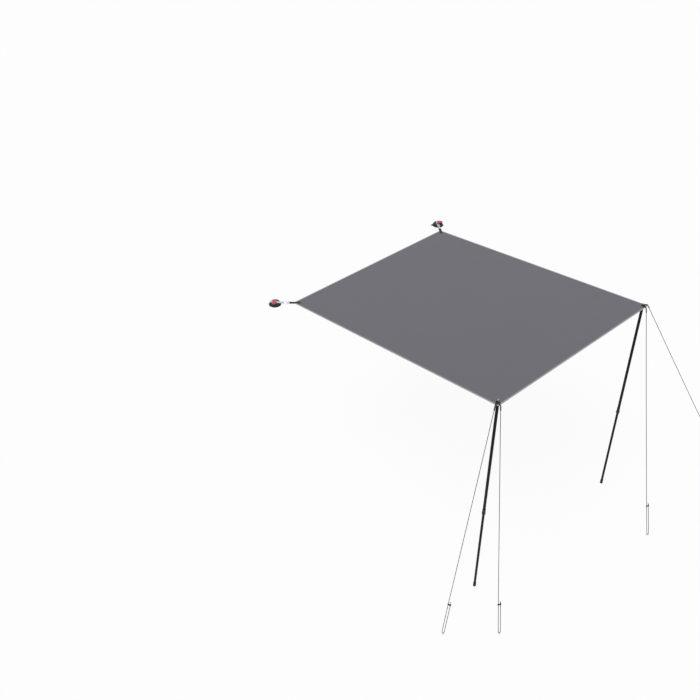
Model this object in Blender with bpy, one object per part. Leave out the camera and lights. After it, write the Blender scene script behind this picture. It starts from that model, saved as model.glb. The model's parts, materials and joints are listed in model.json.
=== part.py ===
"""Side awning of a vehicle: a taut sheet between two roof vacuum cups and two telescopic poles.

Units are metres and +Z is up. The origin is the centre of the front cup's sealing face on the roof.
+X runs along the vehicle towards its rear, and -Y points away from the vehicle, towards the poles.
"""
import math

import bmesh
import bpy
from mathutils import Matrix, Vector

# Clearance left between neighbouring pieces that touch on the real product
GAP = 0.0003

# Points nearer to each other than this are one point
MERGE = 0.000005

# Site that the awning is pitched on
ROOF_HEIGHT = 1.850
OUTER_EDGE_HEIGHT = 2.200

# Sheet and what is sewn or pressed into it
SHEET_WIDTH = 2.000
SHEET_REACH = 2.500
SHEET_THICKNESS = 0.0010
SHEET_CORNER_RADIUS = 0.012
BINDING_WIDTH = 0.014
BINDING_THICKNESS = 0.0006
BINDING_FOLD_RADIUS = 0.0005
PATCH_LEG = 0.150
PATCH_CORNER_RADIUS = 0.010
PATCH_THICKNESS = 0.0006
EYELET_INSET = 0.035
EYELET_PLAY = 0.0018
EYELET_WALL = 0.0007
EYELET_FLANGE_WIDTH = 0.0060
EYELET_FLANGE_THICKNESS = 0.0010
EYELET_LIP_WIDTH = 0.0028
EYELET_LIP_THICKNESS = 0.0008
WASHER_THICKNESS = 0.0010

# Webbing loop and D-ring at each inner corner
STRAP_WIDTH = 0.025
STRAP_THICKNESS = 0.0016
STRAP_FREE_LENGTH = 0.034
STRAP_SEWN_LENGTH = 0.070
RING_WIRE_RADIUS = 0.0025
RING_BEND_RADIUS = 0.0035
RING_SIDE_GAP = 0.0006
RING_STRAIGHT_SIDE = 0.0004

# Snap hook between D-ring and cup
HOOK_WIRE_RADIUS = 0.0030
HOOK_LENGTH = 0.060
HOOK_WIDTH = 0.030
HOOK_SEAT_GAP = 0.0005
HOOK_TONGUE_THICKNESS = 0.0022
HOOK_TONGUE_HALF_HEIGHT = 0.0024
GATE_NOSE_OFFSET = 0.0030
GATE_PIVOT_OFFSET = 0.0050
GATE_SLOT_GAP = 0.0004
GATE_SLOT_DEPTH = 0.0045
GATE_SWEEP_GAP = 0.0006
GATE_PIN_RADIUS = 0.0010
GATE_PIN_HEAD = 0.0004

# Angle between the sheet's inner edge and the pull on its corner
CHAIN_ANGLE = math.radians(52)

# Vacuum cup
PAD_RADIUS = 0.060
PAD_THICKNESS = 0.0060
PAD_RIM_THICKNESS = 0.0018
PAD_EDGE_CHAMFER = 0.0010
PAD_SEAT_MARGIN = 0.0010
PAD_FLOOR = 0.0022
TAB_LENGTH = 0.014
TAB_WIDTH = 0.022
TAB_CORNER_RADIUS = 0.0066
TAB_THICKNESS = 0.0020
TAB_LIFT = 0.0010
HOUSING_RADIUS = 0.0500
HOUSING_DRAFT = 0.0015
HOUSING_SHOULDER_DROP = 0.0050
HOUSING_SHOULDER_WIDTH = 0.0055
HOUSING_HEIGHT = 0.0240
HOUSING_WALL = 0.0025
HUB_WALL = 0.0050
HOUSING_RIBS = 6
HOUSING_RIB_THICKNESS = 0.0020
STEM_RADIUS = 0.0050
STEM_RUNNING_GAP = 0.0004
STEM_FLANGE_RADIUS = 0.0170
STEM_FLANGE_THICKNESS = 0.0025
STEM_HEAD_WIDTH = 0.0100
STEM_HEAD_RADIUS = 0.0063
STEM_HEAD_DROP = 0.0055
STEM_HEAD_CLEARANCE = 0.0010
LEVER_LIFT = 0.0040
LEVER_SWING = math.radians(105)
CAM_FLAT = 0.0065
LEVER_CHEEK = 0.0080
LEVER_SHOULDER = 0.0047
LEVER_LENGTH = 0.0510
LEVER_TIP_RADIUS = 0.0080
LEVER_TIP_THICKNESS = 0.0030
LEVER_DROP = 0.0090
LEVER_WALL = 0.0026
LEVER_POCKETS = 3
LEVER_PIN_RADIUS = 0.0025
LEVER_PIN_HEAD_RADIUS = 0.0036
LEVER_PIN_HEAD = 0.0010
PLATE_THICKNESS = 0.0020
PLATE_WIDTH = 0.030
PLATE_TAIL = 0.048
PLATE_NECK = 0.048
PLATE_EYE_DISTANCE = 0.0720
PLATE_EYE_RADIUS = 0.0070
PLATE_EYE_MARGIN = 0.0060
RIVET_DISTANCE = 0.0330
RIVET_RADIUS = 0.0019
RIVET_HEAD_RADIUS = 0.0040
RIVET_FOOT_RADIUS = 0.0032
RIVET_HEAD = 0.0016
RIVET_FOOT = 0.0010

# Telescopic pole
UPPER_TUBE_LENGTH = 1.200
UPPER_TUBE_RADIUS = 0.0125
UPPER_TUBE_WALL = 0.0011
TELESCOPE_GAP = 0.0004
LOWER_TUBE_WALL = 0.0010
TUBE_OVERLAP = 0.200
SPIGOT_RADIUS = 0.0045
SPIGOT_STICKOUT = 0.034
SPIGOT_SEAT_DEPTH = 0.042
PLUG_LEAN = math.radians(3.3)
PLUG_RELIEF = math.radians(4.5)
PLUG_COLLAR = 0.0080
PLUG_SKIRT = 0.040
PLUG_LEAD_IN = 0.0010
COLLET_WALL = 0.0017
COLLET_GRIP = 0.030
COLLET_NECK = 0.0060
COLLET_FINGER_LENGTH = 0.024
COLLET_FINGER_ROOT = 0.0021
COLLET_FINGER_TIP = 0.0014
COLLET_SLOTS = 4
COLLET_SLOT_WIDTH = 0.0018
LOCK_RING_WALL = 0.0016
LOCK_RING_RIBS = 14
LOCK_RING_RIB_HEIGHT = 0.0009
LOCK_RING_LIP = 0.0035
BUSH_COLLAR = 0.012
BUSH_SKIRT = 0.022
BUSH_WALL = 0.0037
FOOT_WALL = 0.0027
FOOT_HEIGHT = 0.045
FOOT_SOLE = 0.0060
FOOT_SOLE_CHAMFER = 0.0010
FOOT_TAPER = 0.0012
FOOT_GROOVES = 2
FOOT_GROOVE_DEPTH = 0.0006
FOOT_GROOVE_WIDTH = 0.0055

# Guy ropes
ROPE_RADIUS = 0.0025
ROPE_TURN_RADIUS = 0.0100
ROPE_POINT_SPACING = 0.0065
EYE_DROP = 0.0200
KNOT_SWELL = 2.35
KNOT_LENGTH = 0.014
STOPPER_SWELL = 2.0
STOPPER_LENGTH = 0.010
ROPE_TAIL = 0.018
RUNNER_DISTANCE = 0.300
RUNNER_THICKNESS = 0.007
RUNNER_END_RADIUS = 0.0065
PEG_RADIUS = 0.0030
PEG_LENGTH = 0.200
PEG_ARCH_RADIUS = 0.0090
PEG_ARCH_HEIGHT = 0.022
PEG_TIP_LENGTH = 0.014
PEG_POINT_LENGTH = 0.016
PEG_LEAN = math.radians(10)

# Pegs of each guy, from the foot of its pole: along the vehicle and across it
GUYS = (
    ("front", "outer", 0, (-0.235, -0.495)),
    ("front", "side", 1, (-0.600, -0.170)),
    ("rear", "outer", 0, (-0.260, -0.720)),
    ("rear", "side", 1, (1.200, -0.620)),
)

# Half of a rope's eye over the spigot: outwards, sideways, and up from the sheet, in two layers
EYE_ROUTE = (
    (-0.0084, 0.0000, 0.0046, 0.0099),
    (-0.0062, 0.0062, 0.0046, 0.0099),
    (-0.0010, 0.0097, 0.0046, 0.0099),
    (0.0050, 0.0105, 0.0046, 0.0099),
    (0.0120, 0.0092, 0.0046, 0.0099),
    (0.0200, 0.0062, 0.0046, 0.0099),
    (0.0280, 0.0038, 0.0046, 0.0086),
    (0.0415, 0.0029, 0.0046, 0.0049),
    (0.0489, 0.0029, 0.0015, 0.0016),
    (0.0520, 0.0029, -0.0059, -0.0059),
)

# Rope below its knot: shares of the way down to the runner, and the sag that its weight gives
STRAND_SHARES = (0.0, 0.1, 0.3, 0.5, 0.7, 0.9)
STRAND_SAG = 0.006

# Knots as swells of the rope: share of the knot's length, and share of its swell
EYE_KNOT = ((0.0, 0.80), (0.2, 1.0), (0.8, 1.0), (1.0, 0.85))
STOPPER_KNOT = ((0.05, 0.85), (0.3, 1.0), (0.75, 1.0), (0.95, 0.80))

# Facets of round pieces
CORNER_STEPS = 4
CAM_STEPS = 12
CUP_SEGMENTS = 28
POLE_SEGMENTS = 16
SMALL_SEGMENTS = 10

# Bores and the pieces that run or seat in them
EYELET_BORE_RADIUS = SPIGOT_RADIUS + EYELET_PLAY
EYELET_HOLE_RADIUS = EYELET_BORE_RADIUS + EYELET_WALL + GAP
EYELET_FLANGE_RADIUS = EYELET_BORE_RADIUS + EYELET_WALL + EYELET_FLANGE_WIDTH
EYELET_LIP_RADIUS = EYELET_BORE_RADIUS + EYELET_WALL + EYELET_LIP_WIDTH
HUB_BORE_RADIUS = STEM_RADIUS + STEM_RUNNING_GAP
HUB_RADIUS = HUB_BORE_RADIUS + HUB_WALL
RIVET_HOLE_RADIUS = RIVET_RADIUS + GAP
UPPER_BORE_RADIUS = UPPER_TUBE_RADIUS - UPPER_TUBE_WALL
LOWER_TUBE_RADIUS = UPPER_BORE_RADIUS - TELESCOPE_GAP
LOWER_BORE_RADIUS = LOWER_TUBE_RADIUS - LOWER_TUBE_WALL
SLEEVE_BORE_RADIUS = LOWER_TUBE_RADIUS + GAP
COLLET_FINGER_TOP_RADIUS = SLEEVE_BORE_RADIUS + COLLET_FINGER_ROOT
COLLET_FINGER_TIP_RADIUS = SLEEVE_BORE_RADIUS + COLLET_FINGER_TIP
LEVER_HUB_HALF_WIDTH = STEM_HEAD_WIDTH / 2 + GAP + LEVER_CHEEK
LEVER_HALF_WIDTH = LEVER_HUB_HALF_WIDTH + LEVER_SHOULDER
LEVER_SLOT_DEPTH = math.hypot(STEM_HEAD_RADIUS, STEM_HEAD_DROP) + GAP

# Levels of the sheet's layers, measured from its middle
PANEL_FACE = SHEET_THICKNESS / 2
BINDING_INNER = PANEL_FACE + GAP
BINDING_FACE = BINDING_INNER + BINDING_THICKNESS
PATCH_BOTTOM = -PANEL_FACE - PATCH_THICKNESS
WASHER_TOP = PATCH_BOTTOM - GAP
WASHER_BOTTOM = WASHER_TOP - WASHER_THICKNESS
EYELET_LIP_TOP = WASHER_BOTTOM - GAP
EYELET_LIP_BOTTOM = EYELET_LIP_TOP - EYELET_LIP_THICKNESS

# Levels of the cup's pieces above the roof
HOUSING_BASE = PAD_THICKNESS + GAP
HOUSING_SHOULDER = HOUSING_HEIGHT - HOUSING_SHOULDER_DROP
HOUSING_CEILING = HOUSING_HEIGHT - HOUSING_WALL
PLATE_BOTTOM = HOUSING_HEIGHT + GAP
PLATE_TOP = PLATE_BOTTOM + PLATE_THICKNESS
EYE_HEIGHT = (PLATE_BOTTOM + PLATE_TOP) / 2
CAM_RELEASED_RADIUS = STEM_HEAD_DROP + STEM_HEAD_CLEARANCE
CAM_LOCKED_RADIUS = CAM_RELEASED_RADIUS + LEVER_LIFT
PIVOT_HEIGHT = PLATE_TOP + GAP + CAM_LOCKED_RADIUS
FLANGE_BOTTOM = PAD_FLOOR + GAP + LEVER_LIFT
HUB_BOTTOM = FLANGE_BOTTOM + STEM_FLANGE_THICKNESS + STEM_RUNNING_GAP

# Places along the pull from cup to sheet corner, from the hook's wire in the plate's eye
HOOK_BEND_RADIUS = HOOK_WIDTH / 2 - HOOK_WIRE_RADIUS
HOOK_FAR_END = HOOK_LENGTH - 2 * HOOK_WIRE_RADIUS
GATE_NOSE = HOOK_BEND_RADIUS + GATE_NOSE_OFFSET
GATE_PIVOT = HOOK_FAR_END - HOOK_BEND_RADIUS - GATE_PIVOT_OFFSET
RING_HALF_WIDTH = STRAP_WIDTH / 2 + RING_SIDE_GAP + RING_BEND_RADIUS
RING_BOW = HOOK_FAR_END - HOOK_WIRE_RADIUS - GAP - RING_WIRE_RADIUS
RING_BAR = RING_BOW + RING_HALF_WIDTH + RING_STRAIGHT_SIDE + RING_BEND_RADIUS
CHAIN_LENGTH = RING_BAR + STRAP_FREE_LENGTH
EYE_SEAT = PLATE_EYE_DISTANCE + PLATE_EYE_RADIUS - HOOK_SEAT_GAP - HOOK_WIRE_RADIUS

# Slope of the sheet and of the pull on its corners, up from the roof to the outer edge
SHEET_SLOPE = math.asin(
    (OUTER_EDGE_HEIGHT - ROOF_HEIGHT - EYE_HEIGHT)
    / (SHEET_REACH + CHAIN_LENGTH * math.sin(CHAIN_ANGLE))
)

# Levels of the pole's pieces below its pivot in the sheet
PLUG_TILT = SHEET_SLOPE + PLUG_LEAN
PLUG_SHOULDER = EYELET_LIP_BOTTOM - EYELET_BORE_RADIUS * math.tan(PLUG_TILT)
PLUG_COLLAR_BOTTOM = PLUG_SHOULDER - PLUG_COLLAR
TUBE_TOP = PLUG_COLLAR_BOTTOM - GAP
UPPER_TUBE_END = TUBE_TOP - UPPER_TUBE_LENGTH
COLLET_NECK_END = UPPER_TUBE_END - COLLET_NECK
COLLET_END = COLLET_NECK_END - COLLET_FINGER_LENGTH
LOCK_RING_TOP = COLLET_NECK_END - GAP
LOCK_RING_END = COLLET_END - GAP - LOCK_RING_LIP
LOWER_TUBE_TOP = UPPER_TUBE_END + TUBE_OVERLAP


def clear_scene():
    """Removes whatever the file was opened with."""
    for found in list(bpy.data.objects):
        bpy.data.objects.remove(found, do_unlink=True)


def make_material(name, colour, roughness, metallic=0.0):
    """Principled material with one colour."""
    made = bpy.data.materials.new(name)
    made.use_nodes = True
    shader = made.node_tree.nodes["Principled BSDF"]
    shader.inputs["Base Color"].default_value = (*colour, 1.0)
    shader.inputs["Roughness"].default_value = roughness
    shader.inputs["Metallic"].default_value = metallic
    return made


def add_frame(name, location, rotation, parent=None):
    """Empty that pieces are placed by; rotation is a 3 by 3 matrix."""
    empty = bpy.data.objects.new(name, None)
    bpy.context.collection.objects.link(empty)
    empty.parent = parent
    empty.matrix_local = Matrix.Translation(location) @ rotation.to_4x4()
    return empty


def add_object(name, data, material, parent):
    """Object from a mesh or curve, in its parent's coordinates."""
    made = bpy.data.objects.new(name, data)
    bpy.context.collection.objects.link(made)
    made.parent = parent
    if material is not None:
        data.materials.clear()
        data.materials.append(material)
    return made


def finish_mesh(name, bm, smooth_angle=40):
    """Mesh from a bmesh, with its faces turned out and its round stretches shaded smooth."""
    bmesh.ops.remove_doubles(bm, verts=bm.verts, dist=MERGE)
    bmesh.ops.recalc_face_normals(bm, faces=bm.faces)
    mesh = bpy.data.meshes.new(name)
    bm.to_mesh(mesh)
    bm.free()
    mesh.shade_smooth()
    mesh.set_sharp_from_angle(angle=math.radians(smooth_angle))
    return mesh


def arc(centre, radius, start, end, steps):
    """Points on an arc, angles in degrees, both ends included."""
    points = []
    for step in range(steps + 1):
        angle = math.radians(start + (end - start) * step / steps)
        points.append((centre[0] + radius * math.cos(angle), centre[1] + radius * math.sin(angle)))
    return points


def rounded_rectangle(low, high, radius, steps):
    """Outline of a rectangle with round corners, anticlockwise."""
    corners = (
        ((high[0] - radius, low[1] + radius), -90),
        ((high[0] - radius, high[1] - radius), 0),
        ((low[0] + radius, high[1] - radius), 90),
        ((low[0] + radius, low[1] + radius), 180),
    )
    outline = []
    for centre, start in corners:
        outline += arc(centre, radius, start, start + 90, steps)
    return outline


def lathe(name, profile, segments):
    """Solid of revolution about Z from (radius, height) points; a ring's profile is closed."""
    bm = bmesh.new()
    verts = [bm.verts.new((radius, 0, height)) for radius, height in profile]
    edges = [bm.edges.new(pair) for pair in zip(verts, verts[1:])]
    if profile[0][0] > 0:
        edges.append(bm.edges.new((verts[-1], verts[0])))
    bmesh.ops.spin(
        bm, geom=verts + edges, cent=(0, 0, 0), axis=(0, 0, 1), dvec=(0, 0, 0),
        angle=math.tau, steps=segments, use_merge=False,
    )
    return finish_mesh(name, bm)


def prism(name, outline, low, high, turn=None):
    """Solid from a flat outline, between two heights; turn is a matrix applied afterwards."""
    bm = bmesh.new()
    face = bm.faces.new([bm.verts.new((x, y, low)) for x, y in outline])
    extruded = bmesh.ops.extrude_face_region(bm, geom=[face])
    moved = [item for item in extruded["geom"] if isinstance(item, bmesh.types.BMVert)]
    bmesh.ops.translate(bm, verts=moved, vec=(0, 0, high - low))
    if turn is not None:
        bmesh.ops.transform(bm, matrix=turn, verts=bm.verts)
    return finish_mesh(name, bm)


def side_prism(name, outline, half_width):
    """Solid from a (forwards, up) outline that runs from one side to the other along X.

    Forwards is +Y.
    """
    turn = Matrix(((0, 0, 1, 0), (1, 0, 0, 0), (0, 1, 0, 0), (0, 0, 0, 1)))
    return prism(name, outline, -half_width, half_width, turn)


def rod(radius, start, end, segments=SMALL_SEGMENTS):
    """Cylinder mesh between two points."""
    axis = Vector(end) - Vector(start)
    outline = arc((0, 0), radius, 0, 360 - 360 / segments, segments - 1)
    turn = Matrix.Translation(start) @ axis.to_track_quat("Z", "Y").to_matrix().to_4x4()
    return prism("rod", outline, 0, axis.length, turn)


def block(low, high):
    """Box mesh between two corners."""
    outline = ((low[0], low[1]), (high[0], low[1]), (high[0], high[1]), (low[0], high[1]))
    return prism("block", outline, low[2], high[2])


def combine(target, operation, meshes):
    """Applies one Boolean after another to an object, in its own coordinates."""
    for mesh in meshes:
        tool = bpy.data.objects.new("tool", mesh)
        bpy.context.collection.objects.link(tool)
        tool.hide_render = True
        tool.display_type = "WIRE"
        tool.parent = target
        step = target.modifiers.new("step", "BOOLEAN")
        step.operation = operation
        step.solver = "EXACT"
        step.object = tool
        bpy.context.view_layer.update()
        shaped = target.evaluated_get(bpy.context.evaluated_depsgraph_get())
        result = bpy.data.meshes.new_from_object(shaped)
        target.modifiers.remove(step)
        result.name = target.name
        target.data = result
        bpy.data.objects.remove(tool, do_unlink=True)
    target.data.shade_smooth()
    target.data.set_sharp_from_angle(angle=math.radians(40))


def wire_curve(name, routes, radius, resolution, cyclic=False):
    """Round wire along routes; a route's point may hold a fourth value that swells the wire."""
    curve = bpy.data.curves.new(name, "CURVE")
    curve.dimensions = "3D"
    curve.bevel_depth = radius
    curve.bevel_resolution = resolution
    curve.use_fill_caps = True
    for route in routes:
        spline = curve.splines.new("POLY")
        spline.points.add(len(route) - 1)
        for point, place in zip(spline.points, route):
            point.co = (place[0], place[1], place[2], 1.0)
            point.radius = place[3] if len(place) > 3 else 1.0
        spline.use_cyclic_u = cyclic
    return curve


def smooth_route(points, spacing):
    """Points read from the smooth curve that passes through hand-set points."""
    places = [Vector(point) for point in points]
    ends = [2 * places[0] - places[1]] + places + [2 * places[-1] - places[-2]]
    route = [places[0]]
    for before, start, end, after in zip(ends, ends[1:], ends[2:], ends[3:]):
        steps = max(1, round((end - start).length / spacing))
        for step in range(1, steps + 1):
            t = step / steps
            bend = 2 * start + (end - before) * t
            bend += (2 * before - 5 * start + 4 * end - after) * t ** 2
            bend += (3 * start - before - 3 * end + after) * t ** 3
            route.append(bend / 2)
    return route


class Frames:
    """Coordinate frames that the assembly is laid out in."""

    def __init__(self):
        self.tilt = Matrix.Rotation(-SHEET_SLOPE, 3, "X")
        self.turn = {"front": -CHAIN_ANGLE, "rear": CHAIN_ANGLE - math.pi}
        self.lever_side = {"front": -1, "rear": 1}
        self.corner = {"front": self.seat("front") + self.pull("front") * CHAIN_LENGTH}
        self.corner["rear"] = self.corner["front"] + Vector((SHEET_WIDTH, 0, 0))
        self.cup = {"front": Vector((0, 0, 0))}
        self.cup["rear"] = (
            self.corner["rear"] - self.pull("rear") * CHAIN_LENGTH - self.seat("rear")
        )

    def pull(self, end):
        """Unit vector from a cup to its sheet corner."""
        return self.tilt @ Matrix.Rotation(self.turn[end], 3, "Z") @ Vector((1, 0, 0))

    def cup_rotation(self, end):
        """Rotation of a cup, whose plate points along the pull."""
        pull = self.pull(end)
        return Matrix.Rotation(math.atan2(pull.y, pull.x), 3, "Z")

    def seat(self, end):
        """Where the hook's wire lies in the plate's eye, from the cup's centre."""
        return self.cup_rotation(end) @ Vector((EYE_SEAT, 0, EYE_HEIGHT))

    def hook_rotation(self, end):
        """Rotation of the hook, D-ring and webbing, in the sheet's plane."""
        return self.tilt @ Matrix.Rotation(self.turn[end], 3, "Z")

    def eyelet(self, end):
        """Centre of an outer corner's eyelet, in the sheet's coordinates."""
        along = EYELET_INSET if end == "front" else SHEET_WIDTH - EYELET_INSET
        return Vector((along, EYELET_INSET - SHEET_REACH, 0))

    def pole_top(self, end):
        """Pivot of a pole in its eyelet."""
        return self.corner["front"] + self.tilt @ self.eyelet(end)


def build_panel(frame, frames, material):
    """Cloth panel with its corners reinforced underneath, and a hole for each eyelet."""
    edge = BINDING_THICKNESS + GAP
    outline = rounded_rectangle(
        (edge, edge - SHEET_REACH),
        (SHEET_WIDTH - edge, -edge),
        SHEET_CORNER_RADIUS - edge,
        CORNER_STEPS,
    )
    mesh = prism("sheet_panel", outline, -PANEL_FACE, PANEL_FACE)
    panel = add_object("sheet_panel", mesh, material, frame)
    patches = []
    for along, out in ((0, 0), (1, 0), (0, 1), (1, 1)):
        corner = Matrix.Translation((SHEET_WIDTH * along, -SHEET_REACH * out, 0))
        mirror = Matrix.Diagonal((1 - 2 * along, 1 - 2 * out, 1, 1))
        patch = corner_patch()
        patch.transform(corner @ mirror)
        if along != out:
            patch.flip_normals()
        patches.append(patch)
    combine(panel, "UNION", patches)
    combine(panel, "DIFFERENCE", [eyelet_hole(frames, end) for end in ("front", "rear")])


def corner_patch():
    """Triangular patch that is sewn under a corner, as a thickening that starts at the binding."""
    edge = BINDING_WIDTH + GAP
    leg = PATCH_LEG
    round_by = PATCH_CORNER_RADIUS
    outline = [(edge, -edge), (edge, -leg + round_by)]
    outline += arc((edge + round_by, -leg + round_by), round_by, 180, 315, 3)
    outline += arc((leg - round_by, -edge - round_by), round_by, -45, 90, 3)
    return prism("patch", outline, PATCH_BOTTOM, 0)


def eyelet_hole(frames, end):
    """Cutter for an eyelet's hole through the cloth."""
    centre = frames.eyelet(end)
    reach = Vector((0, 0, EYELET_BORE_RADIUS))
    return rod(EYELET_HOLE_RADIUS, centre - reach, centre + reach, POLE_SEGMENTS)


def build_binding(frame, material):
    """Folded tape all round the panel's edge: a U section that closes on itself."""
    section = (
        (0, -BINDING_FACE),
        (0, BINDING_FACE),
        (BINDING_WIDTH, BINDING_FACE),
        (BINDING_WIDTH, BINDING_INNER),
        (BINDING_THICKNESS, BINDING_INNER),
        (BINDING_THICKNESS, -BINDING_INNER),
        (BINDING_WIDTH, -BINDING_INNER),
        (BINDING_WIDTH, -BINDING_FACE),
    )
    bm = bmesh.new()
    loops = []
    for inset, height in section:
        radius = max(SHEET_CORNER_RADIUS - inset, BINDING_FOLD_RADIUS)
        low = (inset, inset - SHEET_REACH)
        high = (SHEET_WIDTH - inset, -inset)
        outline = rounded_rectangle(low, high, radius, CORNER_STEPS)
        loops.append([bm.verts.new((x, y, height)) for x, y in outline])
    for lower, upper in zip(loops, loops[1:] + loops[:1]):
        for index in range(len(lower)):
            after = (index + 1) % len(lower)
            bm.faces.new((lower[index], lower[after], upper[after], upper[index]))
    add_object("edge_binding", finish_mesh("edge_binding", bm), material, frame)


def build_eyelet(end, frame, metal):
    """Eyelet with its barrel rolled over a washer under the sheet."""
    barrel = EYELET_BORE_RADIUS + EYELET_WALL
    flange_base = PANEL_FACE + GAP
    flange_top = flange_base + EYELET_FLANGE_THICKNESS
    roll = EYELET_WALL / 2
    eyelet = (
        (EYELET_BORE_RADIUS, EYELET_LIP_BOTTOM + roll),
        (EYELET_BORE_RADIUS + roll, EYELET_LIP_BOTTOM),
        (EYELET_LIP_RADIUS - roll, EYELET_LIP_BOTTOM),
        (EYELET_LIP_RADIUS, EYELET_LIP_TOP),
        (barrel, EYELET_LIP_TOP),
        (barrel, flange_base),
        (EYELET_FLANGE_RADIUS, flange_base),
        (EYELET_FLANGE_RADIUS - roll, flange_top - roll),
        (barrel + roll, flange_top),
        (EYELET_BORE_RADIUS, flange_top - roll),
    )
    add_object(f"{end}_eyelet", lathe("eyelet", eyelet, POLE_SEGMENTS), metal, frame)
    washer = (
        (EYELET_HOLE_RADIUS, WASHER_BOTTOM),
        (EYELET_FLANGE_RADIUS, WASHER_BOTTOM),
        (EYELET_FLANGE_RADIUS, WASHER_TOP),
        (EYELET_HOLE_RADIUS, WASHER_TOP),
    )
    add_object(f"{end}_eyelet_washer", lathe("washer", washer, POLE_SEGMENTS), metal, frame)


def build_corner_strap(end, frame, material):
    """Webbing that wraps the D-ring's bar and is sewn on both faces of the sheet's corner."""
    half = STRAP_THICKNESS / 2
    lay = BINDING_FACE + GAP + half
    wrap = RING_WIRE_RADIUS + GAP + half
    start = CHAIN_LENGTH + STRAP_SEWN_LENGTH

    def side(offset):
        """One face of the webbing, offset from its middle, from the top layer to the bottom."""
        top = [(start, lay + offset), (CHAIN_LENGTH - BINDING_WIDTH / 2, lay + offset)]
        fold = arc((RING_BAR, 0), wrap + offset, 80, 280, 8)
        return top + fold + [(x, -height) for x, height in reversed(top)]

    outline = side(half) + list(reversed(side(-half)))
    turn = Matrix.Rotation(math.radians(90), 4, "X")
    mesh = prism("corner_strap", outline, -STRAP_WIDTH / 2, STRAP_WIDTH / 2, turn)
    add_object(f"{end}_corner_strap", mesh, material, frame)


def build_d_ring(end, frame, metal):
    """Closed steel D, its bar in the webbing and its bow in the hook."""
    bend = RING_BEND_RADIUS
    corner = (RING_BAR - bend, RING_HALF_WIDTH - bend)
    outline = arc(corner, bend, 90, 0, 3)
    outline += [(x, -y) for x, y in reversed(outline)]
    bow = (RING_BOW + RING_HALF_WIDTH, 0)
    outline += arc(bow, RING_HALF_WIDTH, 270, 90, 10)
    route = [(x, y, 0) for x, y in outline]
    curve = wire_curve("d_ring", [route], RING_WIRE_RADIUS, 2, cyclic=True)
    add_object(f"{end}_d_ring", curve, metal, frame)


def hook_tongue(pointing, place):
    """Flat tongue on an end of the hook's wire, from the wire to its round tip."""
    height = HOOK_TONGUE_HALF_HEIGHT
    start, end = (-90, 90) if pointing > 0 else (90, 270)
    outline = arc((place, 0), height, start, end, 6)
    back = place - pointing * (GATE_SLOT_DEPTH + GATE_SWEEP_GAP + HOOK_WIRE_RADIUS)
    outline += [(back, height * pointing), (back, -height * pointing)]
    lift = Matrix.Translation((0, 0, HOOK_BEND_RADIUS))
    turn = lift @ Matrix.Rotation(math.radians(90), 4, "X")
    half = HOOK_TONGUE_THICKNESS / 2
    return prism("tongue", outline, -half, half, turn)


def build_snap_hook(end, frame, pieces):
    """Bent wire hook with a sprung gate that pivots on a pin near the sheet's end."""
    bend = HOOK_BEND_RADIUS
    far = HOOK_FAR_END - bend
    nose = GATE_NOSE - GATE_SWEEP_GAP
    tail = GATE_PIVOT + HOOK_WIRE_RADIUS + GATE_SWEEP_GAP
    outline = [(nose, bend)] + arc((bend, 0), bend, 90, 270, 8)
    outline += arc((far, 0), bend, -90, 90, 8) + [(tail, bend)]
    route = [(x, 0, z) for x, z in outline]
    curve = wire_curve("snap_hook", [route], HOOK_WIRE_RADIUS, 2)
    hook = add_object(f"{end}_snap_hook", curve, pieces["steel"], frame)
    bpy.context.view_layer.update()
    graph = bpy.context.evaluated_depsgraph_get()
    mesh = bpy.data.meshes.new_from_object(hook.evaluated_get(graph))
    bpy.data.objects.remove(hook, do_unlink=True)
    hook = add_object(f"{end}_snap_hook", mesh, pieces["steel"], frame)
    tongues = [hook_tongue(-1, GATE_PIVOT), hook_tongue(1, GATE_NOSE + GATE_SLOT_DEPTH / 3)]
    combine(hook, "UNION", tongues)
    reach = Vector((0, HOOK_WIRE_RADIUS * 2, 0))
    pivot = Vector((GATE_PIVOT, 0, bend))
    bore = rod(GATE_PIN_RADIUS + GAP, pivot - reach, pivot + reach)
    combine(hook, "DIFFERENCE", [bore])

    hinge = add_frame(f"{end}_gate_axis", pivot, Matrix.Identity(3), frame)
    radius = HOOK_WIRE_RADIUS
    length = GATE_PIVOT - GATE_NOSE
    mesh = rod(radius, (-length, 0, 0), (radius, 0, 0), 16)
    gate = add_object(f"{end}_snap_hook_gate", mesh, pieces["steel"], hinge)
    outline = arc((0, 0), radius, -90, 90, 6) + [(-length, radius), (-length, -radius)]
    turn = Matrix.Rotation(math.radians(90), 4, "X")
    combine(gate, "INTERSECT", [prism("profile", outline, -radius * 2, radius * 2, turn)])
    slot = HOOK_TONGUE_THICKNESS / 2 + GATE_SLOT_GAP
    tall = radius * 2
    nose_slot = block((-length - slot, -slot, -tall), (GATE_SLOT_DEPTH - length, slot, tall))
    tail_slot = block((-radius - GATE_SWEEP_GAP, -slot, -tall), (tall, slot, tall))
    bore = rod(GATE_PIN_RADIUS + GAP, -reach, reach)
    combine(gate, "DIFFERENCE", [nose_slot, tail_slot, bore])

    out = radius + GAP
    pin_profile = (
        (0, -out - GATE_PIN_HEAD),
        (GATE_PIN_RADIUS * 2, -out),
        (GATE_PIN_RADIUS, -out),
        (GATE_PIN_RADIUS, out),
        (GATE_PIN_RADIUS * 2, out),
        (0, out + GATE_PIN_HEAD),
    )
    pin = add_object(f"{end}_snap_hook_pin", lathe("pin", pin_profile, 10), pieces["dark"], hinge)
    pin.rotation_euler = (math.radians(90), 0, 0)


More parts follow.
